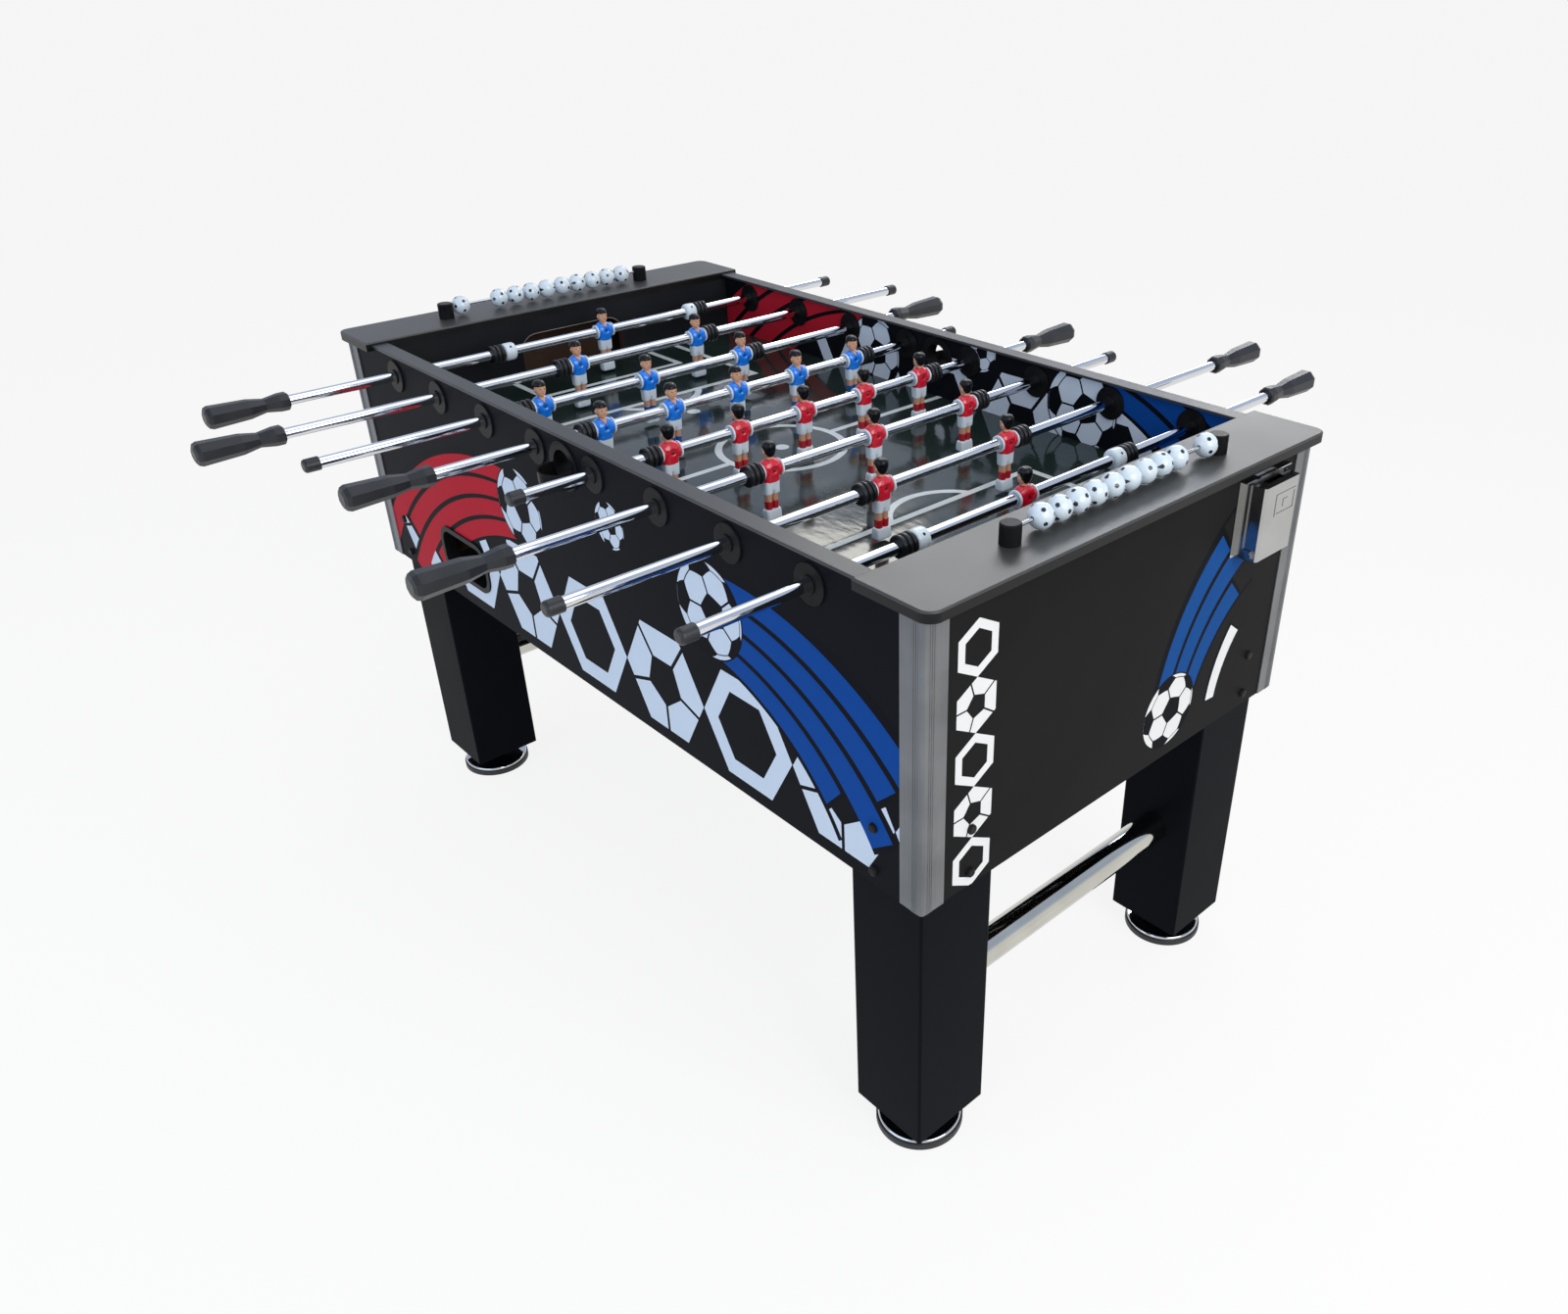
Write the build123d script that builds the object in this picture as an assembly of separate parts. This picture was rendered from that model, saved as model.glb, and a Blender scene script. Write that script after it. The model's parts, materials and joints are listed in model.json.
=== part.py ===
import os
from math import sqrt

from build123d import *

os.makedirs("parts", exist_ok=True)

# Playing field: X runs from goal to goal, the players stand at -Y and +Y
rod_pitch = 150.0
goal_run = 80.0            # goal wall to the goalkeeper's rod
field_width = 715.0
field_board = 6.0
field_lift = 295.0         # field surface above the panels' lower edge

# Boards of the cabinet
board = 18.0
panel_drop = 434.0         # leg showing below the panels
foot_height = 45.0
goal_wall = 15.0
goal_pocket = 67.0         # gap behind the goal wall that catches the ball
goal_width = 212.0
goal_height = 73.0
goal_corner = 30.0

# Top rails: thick ones over the ends, thin strips along the sides
rail_rise = 25.0           # rails' lower face above the rod axis
rail_thickness = 14.0
end_overhang = 17.0
side_overhang = 9.5
rail_corner = 18.0
rail_edge = 2.5
strip_thickness = 4.0
strip_drop = 4.5           # strips' top below the rails' top
strip_lip = 9.0            # strips standing in over the field
strip_edge = 1.0

# Legs, levelling feet and stretchers
leg_size = 126.0
leg_wall = 15.0
leg_sole = 18.0
leg_socket = 101.0         # leg inside the cabinet
leg_round = 3.5
foot_radius = 62.5
foot_rubber = 10.0
foot_edge = 2.0
plate_radius = 60.0
plate_side = 5.0
plate_round = 3.0
plate_rise = 5.0           # plate's rim up to its hub
hub_radius = 20.0
stem_radius = 6.0
stem_rise = 55.0           # stem above the sole's lower face
stretcher_radius = 25.0
stretcher_wall = 1.5
stretcher_height = 240.0

# Leg bolts and corner guards
bolt_radius = 4.0
bolt_head = 6.5
bolt_head_height = 5.0
bolt_round = 2.5
bolt_low = 21.0
bolt_spacing = 65.0
bolt_tail = 3.0            # bolt past the leg's inner wall
guard_leg = 37.0
guard_sheet = 1.6
guard_rib = 0.8
guard_rib_pitch = 3.2
guard_ribs = 3
guard_round = 5.0

# Rods and their bushings
rod_radius = 8.0
rod_wall = 1.5
flange_radius = 26.0
flange_sheet = 3.0
flange_edge = 1.0
boss_radius = 11.5
boss_rise = 2.0
sleeve_radius = 9.8

# Figures
figure_reach = 73.0        # rod axis to the foot's farthest edge
foot_clearance = 4.0
figure_width = 35.0
chest_depth = 25.0
waist_width = 26.0
waist_depth = 18.0
shoulder_rise = 13.0
shoulder_depth = 15.0
hem_drop = 16.0
shorts_drop = 33.5
shorts_width = 27.0
shin_width = 20.0
shin_depth = 12.0
ankle_drop = 56.5
sole_width = 25.0
sole_depth = 16.0
cuff_radius = 12.0
head_radius = 11.0
head_rise = 30.0
neck_radius = 5.5
figure_round = 3.0
five_pitch = 123.0
three_pitch = 192.0
two_pitch = 244.0

# Bumpers, stop collars, grips and end caps
bumper_radius = 15.2
bumper_core = 12.2
bumper_length = 23.0
bumper_ring = 6.5
bumper_round = 2.2
keeper_stop = 214.0        # goalkeeper's bumper from the figure
collar_radius = 15.0
collar_length = 22.0
collar_round = 5.0
grip_sides = 8
grip_length = 124.0
grip_neck = 14.5
grip_neck_length = 14.0
grip_waist = 11.0
grip_waist_at = 36.0
grip_swell = 15.5
grip_swell_at = 60.0
grip_butt = 18.0
grip_lip = 2.5             # bevel at the neck's mouth
grip_round = 8.0           # rounding of the butt
grip_socket = 98.0
cap_radius = 9.7
cap_length = 22.0
cap_socket = 16.0
cap_round = 4.5

# Scorers on the end rails
bead_radius = 16.0
bead_gap = 0.4
bead_lift = 1.6            # bead clear of the rail
pack_beads = 9
left_pack_rest = 0.77      # share of the free wire between the pack and its single bead
right_pack_rest = 0.59
left_scorer_shift = -8.5   # scorer's middle off the table's
right_scorer_shift = 2.0
wire_radius = 2.5
post_radius = 13.0
post_height = 26.0
post_round = 2.0
post_span = 405.0
wire_socket = 8.0

# Serving cups at mid length
cup_flange = 36.0
cup_drop = 9.0             # cup centre below the rod axis
cup_hole = 24.0
cup_width = 58.0
cup_reach = 39.0
cup_depth = 27.0
cup_sheet = 2.5
cup_round = 12.0

# Ball-return cups, goal ramps and return ramps
return_width = 150.0
return_height = 76.0
return_rise = 86.0         # cup centre above the panels' lower edge
return_setback = 315.0     # cup centre from the end of the cabinet
return_depth = 62.0
return_sheet = 3.0
return_rim = 6.0
return_corner = 26.0
inlet_floor = 18.0         # inlet's sill below the cup's centre
inlet_height = 46.0
ramp_board = 8.0
ramp_width = 56.0
ramp_fence = 45.0
ramp_step = 5.0            # goal ramp down onto the return ramp
goal_ramp_lead = 10.0      # goal ramp past the goal's side
goal_ramp_drop = 90.0      # high end of the goal ramp below the field
goal_ramp_fall = 45.0
gate_height = 100.0
wall_gap = 20.0            # goal wall above the legs

# Field bearers
bearer_width = 20.0
bearer_height = 28.0
bearer_pitch = 300.0

# Tilt bin on the right end panel
bin_inset = 103.5          # bin's middle from the side panel
bin_width = 82.0
bin_height = 104.5
bin_depth = 30.0
bin_sheet = 1.5
bin_drop = 19.0            # bin's top below the panel's top
bin_round = 4.0
bin_slot_width = 40.0
bin_slot_depth = 8.0
emboss_width = 47.0
emboss_height = 31.0
emboss_shift = 10.5        # emboss off the bin's middle
emboss_drop = 31.0         # emboss centre below the bin's top
emboss_band = 3.0
emboss_core = 11.0
emboss_rise = 0.8
bracket_sheet = 2.0
bracket_lip = 6.0          # bracket above the bin
bracket_side = 10.0        # bracket beyond its ears
bracket_flange = 12.0
bracket_tab = 32.0
pivot_radius = 3.0
pivot_head = 5.0
pivot_rise = 7.0           # pivot above the bin's lower edge
pivot_reach = 20.0         # pivot from the bracket's plate

# Clearances
running_fit = 0.05
seat_fit = 0.1
side_gap = 0.5
back_gap = 2.0

# One row per rod: figures, side of the grip, place at rest as a share of the slide to one side,
# and the spare length at grip and tail
rods = [
    dict(figures=1, side=-1, rest=0.1414, grip_spare=61.5, tail_spare=15.5),
    dict(figures=2, side=-1, rest=-0.0264, grip_spare=39.0, tail_spare=25.0),
    dict(figures=3, side=1, rest=-0.7363, grip_spare=52.0, tail_spare=35.0),
    dict(figures=5, side=-1, rest=-0.3054, grip_spare=64.0, tail_spare=27.0),
    dict(figures=5, side=1, rest=-0.1065, grip_spare=60.0, tail_spare=27.0),
    dict(figures=3, side=-1, rest=-0.0082, grip_spare=77.0, tail_spare=37.0),
    dict(figures=2, side=1, rest=-0.0264, grip_spare=70.0, tail_spare=25.0),
    dict(figures=1, side=1, rest=-0.1262, grip_spare=63.5, tail_spare=8.5),
]
figure_pitch = {1: 0.0, 2: two_pitch, 3: three_pitch, 5: five_pitch}

# Heights from the floor up
z_leg = foot_height
z_panel = z_leg + panel_drop
z_field = z_panel + field_lift
z_under = z_field - field_board
z_bearer = z_under - bearer_height
z_rod = z_field + foot_clearance + figure_reach
z_rail = z_rod + rail_rise
z_top = z_rail + rail_thickness
z_strip_top = z_top - strip_drop
z_strip = z_strip_top - strip_thickness
z_leg_top = z_panel + leg_socket
z_wall = z_leg_top + wall_gap
z_cup = z_rod - cup_drop
z_return = z_panel + return_rise
z_bolts = (z_panel + bolt_low, z_panel + bolt_low + bolt_spacing)

# Half lengths and widths from the field outwards
rod_middle = (len(rods) - 1) / 2
rod_places = [(i - rod_middle) * rod_pitch for i in range(len(rods))]
x_goal = rod_middle * rod_pitch + goal_run
x_pocket = x_goal + goal_wall
x_inner = x_pocket + goal_pocket
x_panel = x_inner + board
x_rail = x_panel + end_overhang
x_leg = x_inner - leg_size / 2
x_return = x_panel - return_setback
y_field = field_width / 2
y_panel = y_field + board
y_rail = y_panel + side_overhang
y_leg = y_field - leg_size / 2
y_stop = y_field - flange_sheet - boss_rise
y_outside = y_panel + flange_sheet + boss_rise
ends = (-1, 1)
corners = [(sx, sy) for sx in ends for sy in ends]


def block(x0, x1, y0, y1, z0, z1):
    return Pos(x0, y0, z0) * Box(x1 - x0, y1 - y0, z1 - z0, align=(Align.MIN,) * 3)


def round_z(radius, z0, z1, x=0.0, y=0.0):
    bar = Cylinder(radius, z1 - z0, align=(Align.CENTER, Align.CENTER, Align.MIN))
    return Pos(x, y, z0) * bar


def round_y(radius, y0, y1, x=0.0, z=0.0):
    return Pos(x, y0, z) * Rot(-90, 0, 0) * round_z(radius, 0, y1 - y0)


def round_x(radius, x0, x1, y=0.0, z=0.0):
    return Pos(x0, y, z) * Rot(0, 90, 0) * round_z(radius, 0, x1 - x0)


def slab_y(sketch, y0, y1):
    # a sketch drawn in X and Z, carried from y0 to y1
    return Pos(0, y0, 0) * extrude(Plane.XZ * sketch, y1 - y0, dir=(0, 1, 0))


def slab_x(sketch, x0, x1):
    # a sketch drawn in Y and Z, carried from x0 to x1
    return Pos(x0, 0, 0) * extrude(Plane.YZ * sketch, x1 - x0, dir=(1, 0, 0))


def rounded_disc(radius, y0, y1, outer, edge):
    # a disc about Y whose face at the end "outer" has its rim rounded
    disc = round_y(radius, y0, y1)
    return fillet(disc.faces().sort_by(Axis.Y)[outer].edges(), edge)


def turned(shape):
    return Rot(0, 0, 180) * shape


def whole(shape):
    return shape.solids()[0]


def save(name, solids):
    shape = solids[0] if len(solids) == 1 else Compound(label=name, children=solids)
    export_step(shape, f"parts/{name}.step")


# Side panels: holes for the rods, the serving cup, the ball return and the leg bolts,
# and a top that stands higher between the end rails
def side_panel(side):
    y0, y1 = sorted((side * y_field, side * y_panel))
    panel = block(-x_panel, x_panel, y0, y1, z_panel, z_rail)
    panel += block(-x_goal, x_goal, y0, y1, z_rail, z_strip)
    for x in rod_places:
        panel -= round_y(sleeve_radius + seat_fit, y0, y1, x, z_rod)
    panel -= round_y(cup_hole + cup_sheet + seat_fit, y0, y1, 0, z_cup)
    hole = RectangleRounded(return_width + 2 * seat_fit, return_height + 2 * seat_fit, return_corner)
    panel -= slab_y(Pos(side * x_return, z_return) * hole, y0, y1)
    for x in (-x_leg, x_leg):
        for z in z_bolts:
            panel -= round_y(bolt_radius + seat_fit, y0, y1, x, z)
    return whole(panel)


def end_panel(side):
    x0, x1 = sorted((side * x_inner, side * x_panel))
    panel = block(x0, x1, -y_field, y_field, z_panel, z_rail)
    for y in (-y_leg, y_leg):
        for z in z_bolts:
            panel -= round_x(bolt_radius + seat_fit, x0, x1, y, z)
    return whole(panel)


save("front_side_panel", [side_panel(-1)])
save("back_side_panel", [side_panel(1)])
save("left_end_panel", [end_panel(-1)])
save("right_end_panel", [end_panel(1)])


# Goal walls: a mouth down to the field, and a gate that lets the ball to the return ramp
def left_goal_wall():
    wall = block(-x_pocket, -x_goal, -y_field, y_field, z_wall, z_rail)
    mouth = Rectangle(goal_width, goal_height, align=(Align.CENTER, Align.MIN))
    mouth = fillet(mouth.vertices().group_by(Axis.Y)[-1], goal_corner)
    wall -= slab_x(Pos(0, z_field) * mouth, -x_pocket, -x_goal)
    gate = ramp_width + ramp_board
    wall -= block(-x_pocket, -x_goal, -y_field, gate - y_field, z_wall, z_wall + gate_height)
    return whole(wall)


one_goal_wall = left_goal_wall()
save("goal_walls", [one_goal_wall, turned(one_goal_wall)])

# Field board on battens along the sides and beams across
save("playfield", [block(-x_goal, x_goal, -y_field, y_field, z_under, z_field)])

y_batten = y_field - bearer_width
bearers = [block(-x_goal, x_goal, y_batten, y_field, z_bearer, z_under)]
bearers.append(block(-x_goal, x_goal, -y_field, -y_batten, z_bearer, z_under))
for x in (-bearer_pitch, 0, bearer_pitch):
    half = bearer_width / 2
    bearers.append(block(x - half, x + half, -y_batten, y_batten, z_bearer, z_under))
save("field_bearers", bearers)


# Top rails: two side strips between two end rails with rounded outer corners
def side_strip(side):
    y0, y1 = sorted((side * (y_field - strip_lip), side * y_panel))
    strip = block(-x_goal, x_goal, y0, y1, z_strip, z_strip_top)
    long_edges = strip.edges().filter_by(Axis.X).group_by(Axis.Z)[-1]
    return whole(fillet(long_edges, strip_edge))


def end_rail(side):
    x0, x1 = sorted((side * x_goal, side * x_rail))
    rail = block(x0, x1, -y_rail, y_rail, z_rail, z_top)
    upright = rail.edges().filter_by(Axis.Z)
    rail = fillet(upright.sort_by(lambda edge: side * edge.center().X)[-2:], rail_corner)
    rim = rail.faces().sort_by(Axis.Z)[-1].edges()
    return whole(fillet(rim, rail_edge))


save("top_rails", [side_strip(side) for side in ends] + [end_rail(side) for side in ends])


# Legs: box posts closed at the sole, bolted inside the corners of the cabinet
def leg(sx, sy):
    half = leg_size / 2
    bore = half - leg_wall
    post = block(-half, half, -half, half, z_leg, z_leg_top)
    post = fillet(post.edges().filter_by(Axis.Z), leg_round)
    post -= block(-bore, bore, -bore, bore, z_leg + leg_sole, z_leg_top)
    post -= round_z(stem_radius + running_fit, z_leg, z_leg + leg_sole)
    for z in z_bolts:
        post -= round_x(bolt_radius + seat_fit, *sorted((sx * bore, sx * half)), 0, z)
        post -= round_y(bolt_radius + seat_fit, *sorted((sy * bore, sy * half)), 0, z)
    return whole(Pos(sx * x_leg, sy * y_leg, 0) * post)


save("legs", [leg(sx, sy) for sx, sy in corners])


# Leg bolts: domed heads on the panels, shanks through panel and leg wall
def bolt():
    # the head's seat is at the origin, the shank runs along +Z
    head = round_z(bolt_head, -bolt_head_height, 0)
    head = fillet(head.faces().sort_by(Axis.Z)[0].edges(), bolt_round)
    return head + round_z(bolt_radius, 0, board + leg_wall + bolt_tail)


bolts = []
one_bolt = whole(bolt())
for sx, sy in corners:
    for z in z_bolts:
        bolts.append(Pos(sx * x_leg, sy * y_panel, z) * Rot(sy * 90, 0, 0) * one_bolt)
        bolts.append(Pos(sx * x_panel, sy * y_leg, z) * Rot(0, -sx * 90, 0) * one_bolt)
save("leg_bolts", bolts)


# Levelling feet: a chromed plate on a rubber base, with a screwed stem
def levelling_foot(sx, sy):
    base = round_z(foot_radius, 0, foot_rubber)
    base = fillet(base.faces().sort_by(Axis.Z)[-1].edges(), foot_edge)
    z_rim = foot_rubber + plate_side
    plate = round_z(plate_radius, foot_rubber, z_rim)
    plate = fillet(plate.faces().sort_by(Axis.Z)[-1].edges(), plate_round)
    on_rim = Align.CENTER, Align.CENTER, Align.MIN
    plate += Pos(0, 0, z_rim) * Cone(plate_radius - plate_round, hub_radius, plate_rise, align=on_rim)
    plate += round_z(stem_radius, foot_rubber, z_leg + stem_rise)
    place = Pos(sx * x_leg, sy * y_leg, 0)
    return [whole(place * plate), whole(place * base)]


foot_names = {(-1, -1): "left_front", (-1, 1): "left_back", (1, -1): "right_front", (1, 1): "right_back"}
for corner in corners:
    save(f"{foot_names[corner]}_foot", levelling_foot(*corner))


# Stretcher tubes between the two legs of each end
def stretcher(side):
    reach = y_field - leg_size
    tube = round_y(stretcher_radius, -reach, reach, side * x_leg, stretcher_height)
    bore = round_y(stretcher_radius - stretcher_wall, -reach, reach, side * x_leg, stretcher_height)
    return whole(tube - bore)


save("stretcher_tubes", [stretcher(side) for side in ends])


# Corner guards: angle profiles with a rounded nose and fine ribs beside it
def corner_guard(sx, sy):
    height = z_rail - z_panel
    sheet = Align.MAX, Align.MAX
    angle = Pos(guard_sheet, guard_sheet) * Rectangle(guard_leg, guard_leg, align=sheet)
    nose = angle.vertices().sort_by(lambda corner: corner.X + corner.Y)[-1]
    angle = fillet(nose, guard_round)
    angle -= Rectangle(guard_leg, guard_leg, align=sheet)
    for step in range(1, guard_ribs + 1):
        away = -guard_round - step * guard_rib_pitch
        angle += Pos(away, guard_sheet) * Circle(guard_rib)
        angle += Pos(guard_sheet, away) * Circle(guard_rib)
    profile = extrude(angle, height)
    if sx < 0:
        profile = mirror(profile, Plane.YZ)
    if sy < 0:
        profile = mirror(profile, Plane.XZ)
    return whole(Pos(sx * x_panel, sy * y_panel, z_panel) * profile)


save("corner_guards", [corner_guard(sx, sy) for sx, sy in corners])


# Rod bushings: an outer flange with a sleeve, and an inner flange screwed onto it
def bushing_outer():
    # the panel's outer face is at y = 0 and the panel runs towards +Y
    tip = -flange_sheet - boss_rise
    body = rounded_disc(flange_radius, -flange_sheet, 0, 0, flange_edge)
    body += rounded_disc(boss_radius, tip, 0, 0, flange_edge)
    body += round_y(sleeve_radius, -flange_sheet, board + flange_sheet)
    return whole(body - round_y(rod_radius + running_fit, tip, board + flange_sheet))


def bushing_inner():
    face = board + flange_sheet
    tip = face + boss_rise
    nut = rounded_disc(flange_radius, board, face, -1, flange_edge)
    nut += rounded_disc(boss_radius, board, tip, -1, flange_edge)
    nut -= round_y(sleeve_radius + seat_fit, board, face)
    return whole(nut - round_y(rod_radius + running_fit, board, tip))


bushings = []
bushing_halves = (bushing_outer(), bushing_inner())
for x in rod_places:
    for half in bushing_halves:
        bushings.append(Pos(x, -y_panel, z_rod) * half)
        bushings.append(Pos(x, y_panel, z_rod) * turned(half))
save("rod_bushings", bushings)


# Serving cups: a scoop outside, a round hole through the panel and a ring inside
def scoop(width, y0, y1, z0, z1, bottom_round):
    # a round-nosed tray from y1 at the panel out to y0
    plan = Pos(0, y0) * Rectangle(width, y1 - y0, align=(Align.CENTER, Align.MIN))
    nose = plan.vertices().group_by(Axis.Y)[0]
    plan = fillet(nose, width / 2 - seat_fit)
    tray = Pos(0, 0, z0) * extrude(plan, z1 - z0)
    rim = tray.faces().sort_by(Axis.Z)[0].edges()
    return fillet([edge for edge in rim if edge.center().Y < y1 - seat_fit], bottom_round)


def serving_cup():
    # the panel's outer face is at y = 0 and the hole's centre at z = 0
    inside = cup_width - 2 * cup_sheet
    cup = scoop(cup_width, -cup_reach, 0, -cup_depth, 0, cup_round)
    cup -= scoop(
        inside, cup_sheet - cup_reach, -flange_sheet, cup_sheet - cup_depth, cup_depth, cup_round - cup_sheet
    )
    cup += rounded_disc(cup_flange, -flange_sheet, 0, 0, flange_edge)
    cup += round_y(cup_hole + cup_sheet, -flange_sheet, board)
    return whole(cup - round_y(cup_hole, -flange_sheet, board))


def serving_ring():
    ring = rounded_disc(cup_flange, board, board + flange_sheet, -1, flange_edge)
    return whole(ring - round_y(cup_hole, board, board + flange_sheet))


cups = []
for half in (serving_cup(), serving_ring()):
    cups.append(Pos(0, -y_panel, z_cup) * half)
    cups.append(Pos(0, y_panel, z_cup) * turned(half))
save("serving_cups", cups)


# Ball-return cups: a rimmed pocket through the side panel, with an inlet facing the ramp
def front_return_cup():
    depth = board + return_depth
    rim = RectangleRounded(
        return_width + 2 * return_rim, return_height + 2 * return_rim, return_corner + return_rim
    )
    pocket = RectangleRounded(return_width, return_height, return_corner)
    hollow = RectangleRounded(
        return_width - 2 * return_sheet, return_height - 2 * return_sheet, return_corner - return_sheet
    )
    cup = slab_y(rim, -flange_sheet, 0) + slab_y(pocket, 0, depth)
    cup -= slab_y(hollow, -flange_sheet, depth - return_sheet)
    side = -return_width / 2
    inlet = block(side, side + return_corner, board, depth - return_sheet, 0, inlet_height)
    cup -= Pos(0, 0, -inlet_floor) * inlet
    return whole(Pos(-x_return, -y_panel, z_return) * cup)


one_return_cup = front_return_cup()
save("ball_return_cups", [one_return_cup, turned(one_return_cup)])


# Ball ramps: one behind each goal, one along the side panel, and a fence on it
def sloped(points, thickness):
    # the four corners of a board whose upper edge runs through two points
    (a0, z0), (a1, z1) = points
    return Polygon((a0, z0 - thickness), (a1, z1 - thickness), (a1, z1), (a0, z0), align=None)


def left_ramps():
    high = z_field - goal_ramp_drop
    low = high - goal_ramp_fall
    start = goal_width / 2 + goal_ramp_lead
    goal_ramp = slab_x(sloped([(-y_field, low), (start, high)], ramp_board), -x_inner, -x_pocket)
    x_inlet = -x_return - return_width / 2
    line = [(-x_pocket, low - ramp_step), (x_inlet, z_return - inlet_floor)]
    y_fence = ramp_width - y_field
    return_ramp = slab_y(sloped(line, ramp_board), -y_field, y_fence)
    raised = [(x, z + ramp_fence) for x, z in line]
    fence = slab_y(sloped(raised, ramp_board + ramp_fence), y_fence, y_fence + ramp_board)
    return [whole(goal_ramp), whole(return_ramp), whole(fence)]


ramps = left_ramps()
save("ball_ramps", ramps + [turned(ramp) for ramp in ramps])

# Scorers: beads on a wire between two posts on each end rail
x_score = (x_goal + x_rail) / 2
z_wire = z_top + bead_lift + bead_radius
y_post = post_span / 2
y_face = y_post - post_radius
y_wire = y_face + wire_socket
bead_pitch = 2 * bead_radius + bead_gap
half_pack = (pack_beads * bead_pitch - bead_gap) / 2
y_single = y_face - bead_gap - bead_radius
pack_near = y_single - bead_radius - bead_gap - half_pack
pack_far = half_pack + bead_gap - y_face
scorer_shift = {-1: left_scorer_shift, 1: right_scorer_shift}
pack_rest = {-1: left_pack_rest, 1: right_pack_rest}


def scorer_post(sx, sy):
    post = round_z(post_radius, z_top, z_top + post_height)
    post = fillet(post.faces().sort_by(Axis.Z)[-1].edges(), post_round)
    y0, y1 = sorted((sy * (y_wire - y_post), -sy * post_radius))
    post -= round_y(wire_radius + seat_fit, y0, y1, 0, z_wire)
    return whole(Pos(sx * x_score, scorer_shift[sx] + sy * y_post, 0) * post)


def scorer_wire(side):
    wire = round_y(wire_radius, -y_wire, y_wire, side * x_score, z_wire)
    return whole(Pos(0, scorer_shift[side], 0) * wire)


def bead(side, y):
    ball = Sphere(bead_radius) - round_y(wire_radius + running_fit, -bead_radius, bead_radius)
    return whole(Pos(side * x_score, y, z_wire) * ball)


def pack_place(side):
    # the single bead is at the post on the same side of Y as the scorer's side of X
    return scorer_shift[side] + side * (pack_near + pack_rest[side] * (pack_far - pack_near))


def bead_pack(side):
    first = pack_place(side) - (pack_beads - 1) / 2 * bead_pitch
    return [bead(side, first + i * bead_pitch) for i in range(pack_beads)]


def single_bead(side):
    return [bead(side, scorer_shift[side] + side * y_single)]


save("scorer_posts", [scorer_post(sx, sy) for sx, sy in corners])
save("scorer_wires", [scorer_wire(side) for side in ends])
save("left_scorer_pack", bead_pack(-1))
save("left_scorer_single", single_bead(-1))
save("right_scorer_pack", bead_pack(1))
save("right_scorer_single", single_bead(1))

# Tilt bin: a bracket screwed to the right end panel carries a steel bin on two pivot pins
z_bin_top = z_rail - bin_drop
z_bin = z_bin_top - bin_height
z_pivot = z_bin + pivot_rise
x_plate = x_panel + bracket_sheet
x_pivot = x_plate + pivot_reach
x_bin = x_plate + back_gap
x_front = x_bin + bin_depth
bin_place = y_field - bin_inset
bin_half = bin_width / 2
ear_in = bin_half + side_gap
ear_out = ear_in + bracket_sheet
plate_half = ear_out + bracket_side
z_plate_top = z_bin_top + bracket_lip


def bin_bracket():
    bracket = block(x_panel, x_plate, -plate_half, plate_half, z_bin, z_plate_top)
    fold = x_panel + bracket_flange
    for side in ends:
        y0, y1 = sorted((side * ear_in, side * ear_out))
        bracket += block(x_panel, fold, y0, y1, z_bin, z_bin_top)
        bracket += block(x_panel, x_pivot, y0, y1, z_bin, z_pivot + pivot_rise)
        bracket += round_y(pivot_rise, y0, y1, x_pivot, z_pivot)
        inside, outside = side * (bin_half - 2 * bin_sheet), side * (ear_out + bracket_sheet)
        bracket += round_y(pivot_radius, *sorted((inside, outside)), x_pivot, z_pivot)
        bracket += round_y(pivot_head, *sorted((side * ear_out, outside)), x_pivot, z_pivot)
        y0, y1 = sorted((side * plate_half, side * (plate_half - bracket_tab)))
        bracket += block(x_panel, fold, y0, y1, z_plate_top - bracket_sheet, z_plate_top)
    return whole(Pos(0, bin_place, 0) * bracket)


def tilt_bin():
    shell = block(x_bin, x_front, -bin_half, bin_half, z_bin, z_bin_top)
    nose = shell.edges().filter_by(Axis.Z).group_by(Axis.X)[-1]
    shell = fillet(nose, bin_round)
    heel = shell.edges().filter_by(Axis.Y).group_by(Axis.Z)[0].sort_by(Axis.X)[0]
    shell = fillet(heel, bin_round)
    hollow = block(
        x_bin + bin_sheet, x_front - bin_sheet, bin_sheet - bin_half, bin_half - bin_sheet,
        z_bin + bin_round, z_bin_top - bin_sheet,
    )
    nose = hollow.edges().filter_by(Axis.Z).group_by(Axis.X)[-1]
    shell -= fillet(nose, bin_round - bin_sheet)
    middle = (x_bin + x_front) / 2
    slot = Rectangle(bin_slot_depth, bin_slot_width)
    shell -= Pos(middle, 0, z_bin_top - bin_round) * extrude(slot, bin_round)
    shell -= round_y(pivot_radius + running_fit, -bin_half, bin_half, x_pivot, z_pivot)
    frame = Rectangle(emboss_width, emboss_height)
    frame -= Rectangle(emboss_width - 2 * emboss_band, emboss_height - 2 * emboss_band)
    frame += Rectangle(emboss_core, emboss_core)
    place = Pos(emboss_shift, z_bin_top - emboss_drop)
    shell += slab_x(place * frame, x_front - bin_sheet / 2, x_front + emboss_rise)
    return whole(Pos(0, bin_place, 0) * shell)


save("bin_bracket", [bin_bracket()])
save("tilt_bin", [tilt_bin()])


# Figures: one moulding each, bored for the rod, with the rod along Y at z = 0
def tapered(sections):
    # each section is a height with a depth in X, a width in Y and a corner radius
    return loft([Pos(0, 0, z) * RectangleRounded(dx, dy, r) for z, dx, dy, r in sections])


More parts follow.
